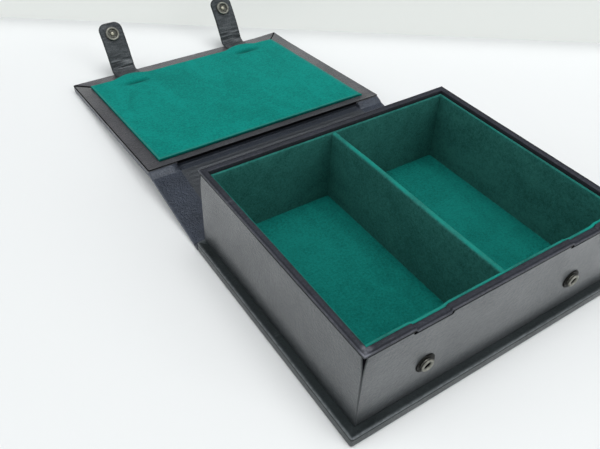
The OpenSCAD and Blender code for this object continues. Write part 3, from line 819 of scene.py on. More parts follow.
def notch_depth(side, s, margin=RIM_NOTCH[0], soft=RIM_NOTCH[1]):
    """How far the front rim is lowered at a place along it."""
    if side != 0 or s is None:
        return 0.0
    return NOTCH_DROP * smooth_step(NOTCH_HALF + margin - min(abs(s - x) for x in snaps), -soft, soft)


def notch_places(margin, soft):
    shares = (-1, -0.5, 0, 0.5, 1)
    return [x + e * (NOTCH_HALF + margin) + d * soft for x in snaps for e in (-1, 1) for d in shares]


def seam_width(height):
    """Half width of a corner seam at a height: narrow below, wide under the rim."""
    t = (height - base_z) / (rim_z - base_z)
    return (0.34 + 0.6 * t + 2.4 * max(0.0, (t - 0.68) / 0.32) ** 2.0) * MM


# %% Tray wall leather
FACE_ROWS, TOP_ROWS = range(3, 14), range(13, 18)
wall_top = rim_z - 2.2 * MM
foot_rows = [(0.7, 0, 0), (0.3, 0, 0), (0.06, 0.2, 0)]
foot_rows += [(0, h, 0) for h in (0.7, 6, 14, 22, 30, 36, 41, 45, 48, 51)]
# the top rows are painted black as shade in the gap under the rim
top_rows = [(0, -0.6, 0.1), (0.08, -0.25, -1), (0.3, -0.05, -1), (0.7, 0, -1), (0.78, 0, -1)]
wall_rows = [(i, base_z + h * MM, w) for i, h, w in foot_rows]
wall_rows += [(i, wall_top + h * MM, w) for i, h, w in top_rows] + [(0.78, base_z, 0)]
wall_profile = [(i * MM, h, seam_width(h), (0.66 if i < 0.5 else 0.02) * MM, w) for i, h, w in wall_rows]


def wall_nudge(i, side, s, p):
    lowered = notch_depth(side, s, *WALL_NOTCH) if i in TOP_ROWS else 0.0
    bow = ripple(p, 0.06, 0.22 * MM, 3) if i in FACE_ROWS else 0.0
    return OUTWARD[side][0] * bow, OUTWARD[side][1] * bow, -lowered


def wall_shade(i, side, s, worn_and_painted_light):
    """The front panel gets a painted highlight, so it is a little lighter."""
    return worn_and_painted_light + 0.28 if side == 0 and worn_and_painted_light >= 0 else worn_and_painted_light


wrap("tray_walls", (0, 0), (tray_x, tray_y), wall_profile, all_round(90, 74, 7, notch_places(*WALL_NOTCH)),
     0.2 * MM, wall_leather, "box", [side + "_wall_leather" for side in SIDES], loop=True, nudge=wall_nudge,
     shade=wall_shade)

# %% [markdown]
# ## Rim
# A separate strip of leather is folded over the top of the walls and down inside them. It
# stands a hair proud of the walls, is gently domed, and has a fine ridge at each corner, where
# one end laps over the other. At the two notches it dips.

# %% Rim leather
RUBBED_ROWS = range(5, 12)
# Last value of each row: painted shade under the outer lip and down the inner face, a painted dark line just
# inside the outer edge, and a painted highlight along the outer edge.
outer = [(0.1, -1.3, -1), (-0.12, -1.25, -1), (-0.24, -1.1, -0.2), (-0.25, -0.72, 0), (-0.2, -0.4, 0.1),
         (-0.03, -0.14, 0.25), (0.25, 0.0, 0.25)]
top = [(0.9, 0.05), (1.7, 0.08), (2.4, 0.08), (3.2, 0.06), (3.85, 0.0)]
inner = [(4.28, -0.15), (4.45, -0.42), (4.5, -0.9), (4.5, -2.2), (4.5, -3.6), (4.5, -6), (4.45, -12),
         (4.1, -12.05)]
back = [(3.72, -12), (3.72, -3.9), (3.7, -0.9), (0.85, -0.9), (0.72, -1.3)]
rim_rows = [(i, z, 0.45, -0.10, w) for i, z, w in outer]
rim_rows += [(i, z, 0.5, -0.14, -0.4 if i < 1 else 0.1) for i, z in top]
rim_rows += [(i, z, 0.4, 0.1, 0 if z > -0.2 else -0.55) for i, z in inner]
rim_rows += [(i, z, 0.3, 0, 0) for i, z in back]
rim_profile = [(i * MM, rim_z + z * MM, w * MM, d * MM, worn_and_painted_light) for i, z, w, d, worn_and_painted_light in rim_rows]


def rim_nudge(i, side, s, p):
    sway = ripple((p.x, p.y, 0), 0.07, 0.12 * MM, 7)
    lift = 0
    if rim_z - p.z <= 7 * MM:
        lift = ripple(p, 0.03, 0.09 * MM, 5) + ripple(p, 0.009, 0.04 * MM, 6) - 0.2 * MM
        lift -= notch_depth(side, s)
    return OUTWARD[side][0] * sway, OUTWARD[side][1] * sway, lift


def rim_shade(i, side, s, worn_and_painted_light):
    """The corner by the left wall is worn light by rubbing."""
    return worn_and_painted_light + 0.8 if s is None and side == 3 and i in RUBBED_ROWS else worn_and_painted_light


wrap("rim", (0, 0), (tray_x, tray_y), rim_profile, all_round(95, 78, 4, notch_places(*RIM_NOTCH)), 0.5 * MM,
     rim_leather, "box", [side + "_rim" for side in SIDES], loop=True, nudge=rim_nudge, shade=rim_shade)

# %% [markdown]
# ## Velvet panels
# The lining is velvet glued round thin cards that are pushed into the tray: one against each
# wall, one on each floor, and the divider. Every card has soft, rolled edges, most clearly at
# the top, where the pile catches the light; that top edge also gets a painted highlight. A box
# of small faces with rounded edges and a little drift makes each card.

# %% Soft-edged panel
def grid_box(lo, hi, cell):
    """A box of small faces, as a bmesh."""
    n = [max(1, round((hi[i] - lo[i]) / cell)) for i in range(3)]
    bm, seen = bmesh.new(), {}

    def corner(key):
        if key not in seen:
            seen[key] = bm.verts.new([lo[i] + (hi[i] - lo[i]) * key[i] / n[i] for i in range(3)])
        return seen[key]

    for axis in range(3):
        u, v = (axis + 1) % 3, (axis + 2) % 3
        for end in (0, n[axis]):
            for i in range(n[u]):
                for j in range(n[v]):
                    quad = []
                    for di, dj in ((0, 0), (1, 0), (1, 1), (0, 1)):
                        key = [0, 0, 0]
                        key[axis], key[u], key[v] = end, i + di, j + dj
                        quad.append(corner(tuple(key)))
                    bm.faces.new(quad if end else quad[::-1])
    return bm


def soft_box(name, lo, hi, cell, edge_r, segments, wave, material, replaces, shape, top_painted_light=0.0,
             long_only=False):
    """Its top edges are rounded; with long_only just the long ones. shape(p) shifts a point."""
    def at_top(e):
        a, b = (v.co for v in e.verts)
        return min(a.z, b.z) > hi.z - 0.1 * MM and (not long_only or abs(a.y - b.y) > 0.1 * MM)

    bm = grid_box(lo, hi, cell)
    bm.normal_update()
    sharp = [e for e in bm.edges if e.calc_face_angle(0) > 1 and at_top(e)]
    bmesh.ops.bevel(bm, geom=sharp, offset=edge_r, offset_type="OFFSET", segments=segments,
                    profile=0.5, affect="EDGES", clamp_overlap=True)
    bm.normal_update()
    wear_and_painted_light = bm.verts.layers.float.new("wear_and_painted_light")
    for v in bm.verts:
        # a painted highlight along the top edge
        at_edge = share_of(v.co.z, hi.z - 1.0 * MM, hi.z - 0.2 * MM)
        v[wear_and_painted_light] = top_painted_light * at_edge * (0.8 + noise.noise(v.co / 0.02))
        v.co += v.normal * wave * (noise.noise(v.co / 0.028) + 0.4 * noise.noise(v.co / 0.009))
        v.co += Vector(shape(v.co))
    mesh = bpy.data.meshes.new(name)
    bm.to_mesh(mesh)
    bm.free()
    return finish_piece(name, mesh, material, "box", replaces, 50)


# %% Wall linings
# how strong the painted highlight along each lining's top edge is
TOP_PAINTED_LIGHT = {"front": 0.6, "back": 0.12, "left": 0.3, "right": 0.3}


def line_wall(side):
    lo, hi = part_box(side + "_lining")
    front = side == "front"
    if front:
        hi.z = rim_z - 0.7 * MM

    def dip(p):
        """The front lining is a little lower where a closed tab passes over it."""
        share = share_of(p.z, hi.z - 6 * MM, hi.z - 2 * MM)
        return 0, 0, (-0.8 * share * notch_depth(0, p.x) if front else 0)

    soft_box(side + "_velvet_card", lo, hi, (3 if front else 5) * MM, 0.85 * MM, 4, 0.10 * MM, lining_velvet,
             [side + "_lining"], dip, TOP_PAINTED_LIGHT[side])
    print(side, "lining reaches", round((rim_z - hi.z) / MM, 2), "mm below the rim")


for side in SIDES:
    line_wall(side)

# %% Floor panels
def line_floor(side):
    lo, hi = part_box(side + "_floor_velvet")
    mid, span = (lo + hi) / 2, (hi - lo) / 2

    def crown(p):
        x, y = (p.x - mid.x) / span.x, (p.y - mid.y) / span.y
        return 0, 0, (0.5 * MM * max(0.0, 1 - x ** 4) * max(0.0, 1 - y ** 4) if p.z > mid.z else 0)

    soft_box(side + "_floor_card", lo, hi, 4.5 * MM, 0.45 * MM, 3, 0.10 * MM, floor_velvet,
             [side + "_floor_velvet"], crown)


for side in ("left", "right"):
    line_floor(side)

# %% Divider
def divider_sway(p):
    """It leans a little this way and that towards its top."""
    return 0.35 * MM * math.sin(p.y / 0.024) * max(0.0, (p.z - 0.03) / 0.035), 0, 0


# the divider's top edge gets a strong painted highlight
soft_box("divider_card", *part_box("divider_velvet"), 3.9 * MM, 1.75 * MM, 5, 0.12 * MM, lining_velvet,
         ["divider_velvet", "divider_board"], divider_sway, top_painted_light=0.75, long_only=True)

# %% [markdown]
# ## Spine
# The spine is a thin board in the case leather. Inside, the leather is turned in over its two
# ends, and a lining of the same skin lies between. Near the lid the lining has three long
# ridges, pressed up when the spine is folded.

# %% Closed sheets
def sheet_solid(name, xs, ys, top, bottom, material, body, replaces, place=HERE, smooth=35, worn_and_painted_light=None):
    """Closed solid between two surfaces over the same grid; top and bottom give whole points."""
    verts = [Vector(surface(x, y)) for surface in (top, bottom) for y in ys for x in xs]
    nx, ny = len(xs), len(ys)
    half, faces = nx * ny, []
    for a in [j * nx + i for j in range(ny - 1) for i in range(nx - 1)]:
        faces += [(a, a + 1, a + nx + 1, a + nx), (half + a, half + a + nx, half + a + nx + 1, half + a + 1)]
    edge = [i for i in range(nx)] + [j * nx + nx - 1 for j in range(1, ny)]
    edge += [(ny - 1) * nx + i for i in reversed(range(nx - 1))]
    edge += [j * nx for j in reversed(range(1, ny - 1))]
    faces += [(a, half + a, half + b, b) for a, b in zip(edge, edge[1:] + edge[:1])]
    wear_and_painted_light = None
    if worn_and_painted_light is not None:
        wear_and_painted_light = [worn_and_painted_light(x, y) for y in ys for x in xs]
        # where the two surfaces meet in a point, both carry the same wear and painted light
        wear_and_painted_light += [w if (verts[i] - verts[half + i]).length < SAME_POINT else 0.0 for i, w in enumerate(wear_and_painted_light)]
    return make_piece(name, verts, faces, material, body, replaces, smooth, wear_and_painted_light, place)


# %% Spine cover
END_R = 0.9 * MM
spine_lo, spine_hi = own_box("spine_cover", SPINE)
spine_mid, spine_half = halves(spine_lo, spine_hi)
spine_low, spine_high = spine_lo.z, spine_hi.z - 0.25 * MM
near_end = [1, 0.9985, 0.994, 0.985, 0.96, 0.9, 0.85, 0.79]
spine_x = sorted(set([e * x * spine_half[0] for e in (-1, 1) for x in near_end] + even(83 * MM, 12 * MM)))
spine_y = [spine_lo.y + (spine_hi.y - spine_lo.y) * i / 16 for i in range(17)]


def from_end(x):
    return spine_half[0] - abs(x)


def rounded_end(x):
    """How much lower the cover is where it is rounded down at its two ends."""
    return END_R - math.sqrt(max(END_R ** 2 - max(END_R - from_end(x), 0.0) ** 2, 0.0))


def spine_top(x, y):
    wave = ripple((x, y, 0), 0.025, 0.10 * MM, 9)
    return x, y, spine_high - rounded_end(x) + wave * min(1.0, from_end(x) / 0.01)


def spine_under(x, y):
    return x, y, spine_low + rounded_end(x)


def spine_worn(x, y):
    return 0.5 if from_end(x) < 0.4 * MM else 0.0


sheet_solid("spine_wrap", spine_x, spine_y, spine_top, spine_under, spine_leather, "spine",
            ["spine_cover"], SPINE, worn_and_painted_light=spine_worn)

# %% [markdown]
# The ridges in the lining follow a rule: they are equal, lie side by side, and run the whole
# width. Geometry Nodes build such a sheet well: a flat grid is raised by a row of bumps whose
# height, spacing, place and number are inputs.

# %% Start, end and use of a tree
def shape_tree(name, sizes):
    """Tree that makes a shape from its sizes and a material."""
    inputs = {"Geometry": "Geometry", **sizes, "Material": "Material"}
    return new_tree("Geometry", name, inputs, {"Geometry": "Geometry"})


def end_tree(result, shape, material):
    """Makes copies real, because the export leaves instances out, and gives them their material."""
    real = add(shape.id_data, "GeometryNodeRealizeInstances", shape)
    feed(result.inputs[0], add(shape.id_data, "GeometryNodeSetMaterial", Geometry=real, Material=material))


def build_with(name, tree, start, values):
    """Runs a tree on an object's data and returns the result as a plain mesh."""
    holder = bpy.data.objects.new(name + " source", start)
    modifier = holder.modifiers.new("build", "NODES")
    modifier.node_group = tree
    ids = {item.name: item.identifier for item in tree.interface.items_tree
           if item.item_type == "SOCKET" and item.in_out == "INPUT"}
    for label, value in values.items():
        modifier[ids[label]] = value
    scene.collection.objects.link(holder)
    bpy.context.view_layer.update()
    ready = holder.evaluated_get(bpy.context.evaluated_depsgraph_get())
    mesh = bpy.data.meshes.new_from_object(ready)
    mesh.name = name
    bpy.data.objects.remove(holder)
    return mesh


# %% Ribbed sheet in Geometry Nodes
def ribbed_tree():
    sizes = numbers("Width", "Depth", "Rib Height", "Rib Width", "Rib Pitch", "First Rib", "Edge Roll")
    tree, given, result = shape_tree("ribbed lining", {**sizes, "Rib Count": 3})
    place = out(add(tree, "GeometryNodeInputPosition"))
    parts = add(tree, "ShaderNodeSeparateXYZ", place)
    # distance from the far edge, counted in pitches after the first rib
    steps = (given["Depth"] * 0.5 - out(parts, "Y") - given["First Rib"]) / given["Rib Pitch"]
    nearest = steps.math("ROUND").math("MINIMUM", given["Rib Count"] - 1.0).math("MAXIMUM", 0.0)
    away = (steps - nearest).math("ABSOLUTE") * given["Rib Pitch"] / given["Rib Width"]
    swell = (1.0 - away * away).math("MAXIMUM", 0.0)
    swell = swell * swell * (noise_node(place, 30.0) + 0.45)
    to_end = given["Width"] * 0.5 - out(parts, "X").math("ABSOLUTE")
    height = swell * given["Rib Height"] * (to_end / given["Edge Roll"]).math("MINIMUM", 1.0)
    grid = add(tree, "GeometryNodeMeshGrid", given["Width"], given["Depth"], 61, 181)
    lift = add(tree, "ShaderNodeCombineXYZ", Z=height)
    end_tree(result, add(tree, "GeometryNodeSetPosition", Geometry=grid, Offset=lift), given["Material"])
    return tree


# %% Lining of the spine
lining_lo, lining_hi = own_box("spine_lining", SPINE)
lining_z = spine_hi.z - 0.02 * MM
sheet = build_with("spine_lining_skin", ribbed_tree(), bpy.data.meshes.new("empty"), {
    "Width": lining_hi.x - lining_lo.x, "Depth": lining_hi.y - lining_lo.y, "Rib Height": 0.24 * MM,
    "Rib Width": 1.9 * MM, "Rib Pitch": 4.6 * MM, "First Rib": 3.4 * MM, "Edge Roll": 16 * MM,
    "Rib Count": 3, "Material": lining_leather})
bm = bmesh.new()
bm.from_mesh(sheet)
bmesh.ops.translate(bm, verts=bm.verts, vec=(0, spine_mid[1], lining_z))
under = bmesh.ops.extrude_face_region(bm, geom=list(bm.faces))
for v in (g for g in under["geom"] if isinstance(g, bmesh.types.BMVert)):
    v.co.z = lining_z - 0.5 * MM
bm.transform(SPINE)
bm.to_mesh(sheet)
bm.free()
finish_piece("spine_lining_skin", sheet, lining_leather, "spine", ["spine_lining"])

# %% [markdown]
# ## Joints
# Between base, spine and lid there is only leather, which bends. Each joint is one closed strip
# that runs round the fold from one board to the next. At the lid the strip has a slot along its
# middle, and its two ends are the turned-in leather, which runs up to the lid's edge.

# %% Joint strips
def spine_point(y, z):
    return SPINE @ Vector((0, y, z))


def lid_point(y, z):
    return LID @ Vector((0, y, z))


def beside(point, y, z):
    """A point moved in the plane across the folds, in millimetres."""
    return point + Vector((0, y * MM, z * MM))


def along_line(points, t):
    """Point at t between 0 and 1 along a list of points, with equal shares."""
    t = share_of(t) * (len(points) - 1)
    i = min(int(t), len(points) - 2)
    return points[i].lerp(points[i + 1], t - i)


def joint_strip(name, xs, count, under, middle, ends, reach, crease, drops, worn_and_painted_light, node):
    """The upper side follows the middle line, and beyond the reach the line of the ends."""
    def drop(x, depth):
        return max(0.0, 1 - from_end(x) / END_R) ** 2 * depth * MM

    def top(x, t):
        full = smooth_step(abs(x), *reach)
        p = along_line(middle, t).lerp(along_line(ends, t), full)
        return x, p.y, p.z + crease(x, t) * math.sin(math.pi * t) * full - drop(x, drops[0])

    def low(x, t):
        p = along_line(under, t)
        return x, p.y, p.z + drop(x, drops[1])

    return sheet_solid(name, xs, [i / count for i in range(count + 1)], top, low, spine_leather, None,
                       [node], smooth=60, worn_and_painted_light=worn_and_painted_light)


# %% Strip across the base fold
base_back = Vector((0, base_hi.y, 0))
base_under = [beside(base_back, 0, 0.15), beside(fold_a, 0, -0.3), spine_point(3 * MM, spine_low)]
valley = [beside(base_back, 0, 2.4), beside(base_back, 1.6, 1.5), beside(fold_a, 0, 1.1),
          spine_point(1.5 * MM, 1.2 * MM), spine_point(3 * MM, spine_high)]
tray_foot = base_back + Vector((0, 0, base_z))
shoulder = [beside(tray_foot, 0, -1.5), beside(tray_foot, 1.4, -3), beside(fold_a, 0.2, 3.1),
            spine_point(1.4 * MM, spine_high + 0.5 * MM), spine_point(3 * MM, spine_high)]
strip_end = [1, 0.9985, 0.994, 0.985, 0.97, 0.96, 0.95]
strip_x = sorted(set([e * x * spine_half[0] for e in (-1, 1) for x in strip_end] + even(99 * MM, 9 * MM)))


def base_crease(x, t):
    return 0.35 * MM * math.sin(t * 15)


def base_strip_painted_light(x, t):
    """A painted highlight in one spot near each end, painted shade everywhere else."""
    return 0.9 if abs(4 * MM - from_end(x)) < 1.2 * MM and 0.6 < t < 0.8 else -0.5


base_strip = joint_strip("base_joint_skin", strip_x, 14, base_under, valley, shoulder,
                         (spine_half[0] - 8 * MM, spine_half[0] - 5 * MM), base_crease, (0.7, 0.5),
                         base_strip_painted_light, "base_joint_leather")
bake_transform(base_strip)

# %% Strip across the lid fold
lid_lo, lid_hi = own_box("lid_cover", LID)
spine_end, lid_edge = spine_hi.y, lid_lo.y
end_from, end_to = lining_hi.x - 0.4 * MM, lining_hi.x + 0.8 * MM
slot_ends = [end_from + (end_to - end_from) * k / 4 for k in range(5)] + [x * MM for x in (90, 94, 100, 103)]
lid_strip_x = sorted(set(strip_x + [e * x for e in (-1, 1) for x in slot_ends]))
lid_under = [spine_point(spine_end, spine_low), beside(fold_b, 0, -0.35),
             lid_point(lid_edge, lid_lo.z + 0.3 * MM)]
slot_line = [spine_point(spine_end, spine_high), spine_point(spine_end + 0.35 * MM, spine_high - 0.6 * MM),
             spine_point(spine_end + 1.6 * MM, 0.9 * MM), beside(fold_b, 0, 0.9),
             lid_point(lid_edge - 0.8 * MM, 1.0 * MM), lid_point(lid_edge, 1.6 * MM)]
ramp_line = [spine_point(spine_end, spine_high), spine_point(spine_end + 1.2 * MM, spine_high + 0.5 * MM),
             beside(fold_b, -0.4, 3.0), lid_point(lid_edge - 1.2 * MM, 4.1 * MM),
             lid_point(lid_edge, lid_hi.z - 1.15 * MM)]


def lid_crease(x, t):
    return 0.13 * MM * math.sin(t * 11 + 1 + 9 * x)


def lid_strip_slot_shade(x, t):
    """Painted shade deep in the slot, and a little lighter on the turned-in ends."""
    in_slot = 1 - smooth_step(abs(x), end_from, end_to + 3 * MM)
    return 0.3 - (0.3 + 0.5 * smooth_step(t, 0.1, 0.5)) * in_slot


lid_strip = joint_strip("lid_joint_skin", lid_strip_x, 20, lid_under, slot_line, ramp_line,
                        (end_from, end_to), lid_crease, (0.8, 0.6), lid_strip_slot_shade, "lid_joint_leather")
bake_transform(lid_strip)

# %% [markdown]
# ## Lid
# The lid is wrapped like the base. It lies open with its inner side up, so its turned-in
# leather and the mitres at its corners show round the pad.

# %% Lid cover
SHADED_ROWS = range(6, 13)


def lid_nudge(i, side, s, p):
    """A slight drift of the turned-in leather, and the thick lap at the far right corner."""
    if p.z < lid_hi.z - 0.1 * MM:
        return 0, 0, 0
    lap = bell(math.hypot(p.x - lid_hi.x + 1.5 * MM, p.y - lid_hi.y + 1.5 * MM), 2.2 * MM)
    return 0, 0, ripple(p, 0.03, 0.1 * MM, 4) - 0.1 * MM + 1.5 * MM * lap


def lid_shade(i, side, s, worn_and_painted_light):
    """The near edge is nearly black where it lies in the shade of the slot, and plain beyond it."""
    if side != 0 or i not in SHADED_ROWS:
        return worn_and_painted_light
    if s is None or abs(s) > lining_hi.x:
        return 0.0
    return {6: -0.1, 7: -0.5}.get(i, -1.0)


slot_edge = [e * (lining_hi.x + d * MM) for e in (-1, 1) for d in (-0.5, 0.5)]
# The lid's upper edge gets painted shade, its sides and crease a painted highlight.
lid_profile = board_profile(lid_lo.z, lid_hi.z, mitre_from=1 * MM, mitre_depth=0.45 * MM, top_painted_light=0.0,
                            edge_painted_light=-0.85, side_painted_light=0.5, groove_painted_light=0.3)
cover = wrap("lid_wrap", *halves(lid_lo, lid_hi), lid_profile, all_round(80, 60, 8, slot_edge), BOARD_CORNER,
             lit_lid_leather, "lid", ["lid_cover"], place=LID, nudge=lid_nudge, wide=(0.6, 1.6, 3.8, 0.6),
             shade=lid_shade)
# below the crease the board shows the outside leather, the same one as the spine
cover.data.materials.append(spine_leather)
to_lid = LID.inverted()
for face in cover.data.polygons:
    if face.material_index == 0 and (to_lid @ face.center).z < lid_hi.z - 2.3 * MM:
        face.material_index = len(cover.data.materials) - 1
print("lid cover:", sum(f.material_index > 1 for f in cover.data.polygons), "faces of outside leather")

# %% [markdown]
# ## Pad
# Thin foam under velvet, on a card. Its near and left edges are pulled tight and look crisp;
# the far and right edges are softer. The velvet swells over the roots of the tabs and has a
# short crease in front of each. The foam is too thin for a cloth simulation to keep its shape,
# so the crown, the soft edges, swells and creases are given as heights over a fine grid.

# %% Shape of the pad
TIGHT, SOFT_RIGHT, SOFT_FAR = 0.9 * MM, 3.5 * MM, 4.0 * MM
pad_lo, pad_hi = own_box("pad_velvet", LID)
pad_t = pad_hi.z - pad_lo.z


def edge_height(d, softness):
    """Share of the pad's height at a distance from an edge."""
    if d <= 0:
        return 0.0
    t = 1 - min(d / softness, 1.0)
    return 0.62 + 0.38 * math.sqrt(1 - t ** 2) if softness == TIGHT else 0.3 + 0.7 * (1 - t ** 2.2)


def from_edges(x, y):
    return x - pad_lo.x, pad_hi.x - x, y - pad_lo.y, pad_hi.y - y


def near_tab(x, tab, reach):
    """1 at the middle of a tab, 0 at a reach to either side, in millimetres."""
    return max(0.0, 1 - ((x - tab) / (reach * MM)) ** 2)


def crease_at(tab):
    """Distance of the crease in front of a tab from the pad's far edge."""
    return (18.0 if tab < 0 else 15.5) * MM


def pad_height(x, y):
    left, right, near, far = from_edges(x, y)
    closest = min(left, right, near, far)
    share = min(edge_height(left, TIGHT), edge_height(near, TIGHT), edge_height(right, SOFT_RIGHT),
                edge_height(far, SOFT_FAR))
    height = pad_t * share + 0.25 * MM * min(1.0, closest / 0.02)
    height += min(1.0, closest / 0.004) * (ripple((x, y, 0), 0.045, 0.22 * MM, 11)
                                           + ripple((x, y, 0), 0.016, 0.10 * MM, 12))
    for tab in snaps:
        swell = near_tab(x, tab, 17) * bell(far - 2 * MM, 7 * MM) if share > 0 else 0.0
        before = far - crease_at(tab)
        crease = 1.4 * bell(before, 2.4 * MM) - 0.5 * bell(before + 5 * MM, 3 * MM)
        height += (0.9 * swell - crease * near_tab(x, tab, 14.5)) * MM
    return max(height, 0.0)


def pad_top(x, y):
    """The far edge bulges at the tabs, and the two soft edges are not quite straight."""
    _, right, _, far = from_edges(x, y)
    bulge = sum(4.5 * MM * near_tab(x, tab, 17) ** 1.5 * bell(far, 6 * MM) for tab in snaps)
    sway = ripple((x, y, 0), 0.05, 0.5 * MM, 13) + ripple((x, y, 0), 0.005, 0.5 * MM, 14)
    sway = sway * bell(min(far, right), 3 * MM) - 2.2 * MM * math.exp(-(far + right) / (4 * MM))
    return x + sway, y + bulge + sway, pad_lo.z + pad_height(x, y)


def pad_low(x, y):
    return *pad_top(x, y)[:2], pad_lo.z


# %% Painted light and shade of the pad
def pad_painted_light(x, y):
    """Painted highlight along the tight edges and painted sheen on the soft ones; painted shade in the two
    creases and on the sides of the tight edges.
    """
    left, right, near, far = from_edges(x, y)
    tight = min(near, left)
    dark = max(near_tab(x, tab, 14.5) * bell(far - crease_at(tab), 3 * MM) for tab in snaps)
    soft = max(0.8 * bell(max(right, 0), 3.2 * MM), 0.7 * bell(max(far, 0), 2.2 * MM))
    foot = 0.97 if tight < 0.01 * MM else 0.62 if tight < 0.05 * MM else 0.0
    return max(0.42 * bell(tight - 0.5 * MM, 0.5 * MM), soft) - 0.66 * dark - foot


# %% Lid pad
def fine_edges(a, b, step):
    """Places from a to b that crowd together near both ends."""
    near = [0, 0.02, 0.12, 0.35, 0.7, 1.2, 1.9, 2.8, 4.0, 5.6, 7.6]
    inner = even((b - a) / 2 - 10 * MM, step)
    ends = [a + d * MM for d in near] + [b - d * MM for d in near]
    return sorted(set(ends + [v + (a + b) / 2 for v in inner]))


pad = sheet_solid("lid_pad", fine_edges(pad_lo.x, pad_hi.x, 3 * MM), fine_edges(pad_lo.y, pad_hi.y, 2 * MM),
                  pad_top, pad_low, pad_velvet, "lid", ["pad_velvet", "pad_board"], LID, smooth=80,
                  worn_and_painted_light=pad_painted_light)

# %% [markdown]
# ## Tabs
# A tab is a strap of two leathers, glued under the pad and free from there on. It stands up
# when the box is open and bends at its root when it is closed over the wall. The strap is one
# closed piece that follows a path, which turns at its root from the lid's plane to the tab's.

# %% Where a tab bends and snaps
tab_fold = joint_place("left_tab_fold")
fold_line = Vector((0, tab_fold.y, tab_fold.z))
tab_len = max((p.yz - tab_fold.yz).length for p in node_points("left_tab_face"))
root_lo, root_hi = own_box("left_tab_root", LID)
tab_t = (root_hi.z - root_lo.z) / 2
(cap_lo, cap_hi), (socket_lo, socket_hi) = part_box("left_cap"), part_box("left_socket")
cap_mid, socket_mid = (cap_lo + cap_hi) / 2, (socket_lo + socket_hi) / 2
through = (socket_mid - cap_mid).normalized()
FLAT = (LID.to_3x3() @ Vector((0, 1, 0))).normalized()
WAY = Vector((0, through.z, -through.y))
LEAN = Vector((0, -WAY.z, WAY.y))
BEND = math.acos(FLAT.dot(WAY))
snap_at = (socket_mid - tab_fold).dot(WAY)
print("tab", in_mm((tab_len, tab_t, snap_at), 2), "mm, bend", round(math.degrees(BEND), 2))

# %% Path of a tab
BOW, CURL = 0.9 * MM, 1.6 * MM
CUT, TIP_R = 3.5 * MM, 6.6 * MM


def free_shift(s):
    """How far the free strap bows from a straight line, towards the box, at a distance from its fold."""
    u = max(s - CUT, 0.0) / (tab_len - CUT)
    return BOW * math.sin(math.pi * min(u, 1.0)) - CURL * u * u


def tab_path():
    """Centre line of a strap in the plane across the folds: (place, distance from the fold)."""
    radius = CUT / math.tan(BEND / 2)
    up = Vector((0, -FLAT.z, FLAT.y))
    start = LID @ Vector((0, root_lo.y, root_lo.z + tab_t))
    begin = fold_line - FLAT * CUT
    found = [(start.lerp(begin, k / 8), -CUT - (begin - start).length * (1 - k / 8)) for k in range(8)]
    for k in range(21):
        turn = BEND * k / 20
        bent = FLAT * math.sin(turn) - up * math.cos(turn)
        found.append((begin + up * radius + bent * radius, CUT * (k / 10 - 1)))
    straight = tab_len - TIP_R
    places = [CUT + (straight - CUT) * k / 96 for k in range(1, 97)]
    places += [straight + TIP_R * math.sin(math.pi / 2 * k / 10) for k in range(1, 11)]
    return found + [(fold_line + WAY * s + LEAN * free_shift(s), s) for s in places]


path = tab_path()


def tab_normal(j):
    a, b = path[max(j - 1, 0)][0], path[min(j + 1, len(path) - 1)][0]
    along = (b - a).normalized()
    return Vector((0, -along.z, along.y))


# %% Edges and folds of a strap
def strap_half_width(s, half_w):
    over = max(s - (tab_len - TIP_R), 0.0)
    return half_w - TIP_R + math.sqrt(max(TIP_R ** 2 - over ** 2, 0.0))


def wrinkle(u, s, seed):
    """Small folds across the strap, strongest where it bends: from about -1 to 1."""
    near = 1.7 * bell(s - 6 * MM, 6 * MM) + 0.5
    return near * noise.noise(Vector((0.9 * u + seed, s / (1.5 * MM), seed)))


def strap_border_and_painted_folds(u, s, half_w, seed):
    """A ragged, nearly black border along the cut edge; between the edges the folds get a painted highlight
    on their crests and painted shade in their hollows.
    """
    edge = min((1 - abs(u)) * strap_half_width(s, half_w), tab_len - s)
    ragged = 0.8 * noise.noise(Vector((4 * u, s / (1.2 * MM), seed)))
    border = share_of(1.3 - edge / (1.1 * MM) + ragged)
    inner = min(max(0.9 * wrinkle(u, s, seed), -0.58), 1.0)
    return inner + (-0.56 - inner) * border


# %% Tab straps
def make_strap(side, x_mid, seed):
    face_lo, face_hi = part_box(side + "_tab_face")
    half_w = (face_hi.x - face_lo.x) / 2
    us = sorted([e * u for e in (-1, 1) for u in (1, 0.985, 0.95, 0.9)] + [u / 10 for u in range(-8, 9)])

    def surface(way):
        def point(u, j):
            place, s = path[j]
            ending = max(0.0, 1 - (tab_len - s) / (0.8 * MM))
            thick = tab_t * (1 - 0.55 * max(0.0, (abs(u) - 0.9) / 0.1) ** 2) * (1 - 0.5 * ending ** 2)
            free = (1.0 if s > -2 * MM else 0.3) * (1.0 if way > 0 else 0.6)
            drift = 0.3 * MM * wrinkle(u, s, seed) + ripple((u * 0.011, s, 0), 0.004, 0.16 * MM, seed)
            p = place + tab_normal(j) * (way * thick + free * drift)
            return x_mid + u * strap_half_width(s, half_w), p.y, p.z
        return point

    def worn_and_painted_light(u, j):
        return strap_border_and_painted_folds(u, path[j][1], half_w, seed)

    nodes = [side + end for end in ("_tab_root", "_tab_face", "_tab_back")]
    strap = sheet_solid(side + "_strap", us, range(len(path)), surface(1), surface(-1), tab_leather, None,
                        nodes, smooth=60, worn_and_painted_light=worn_and_painted_light)
    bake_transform(strap)


for side, x_mid, seed in (("left", snaps[0], 1.0), ("right", snaps[1], 4.0)):
    make_strap(side, x_mid, seed)

# %% [markdown]
# ## Snaps
# Studs, sockets and caps are pressed and spun from sheet brass, so each is a profile turned
# round an axis. The turning is a rule, and the two studs repeat it, so Geometry Nodes do both:
# a grid is rolled up round the axis, takes its radius and height from the profile's points, and
# is set down as many times as asked.

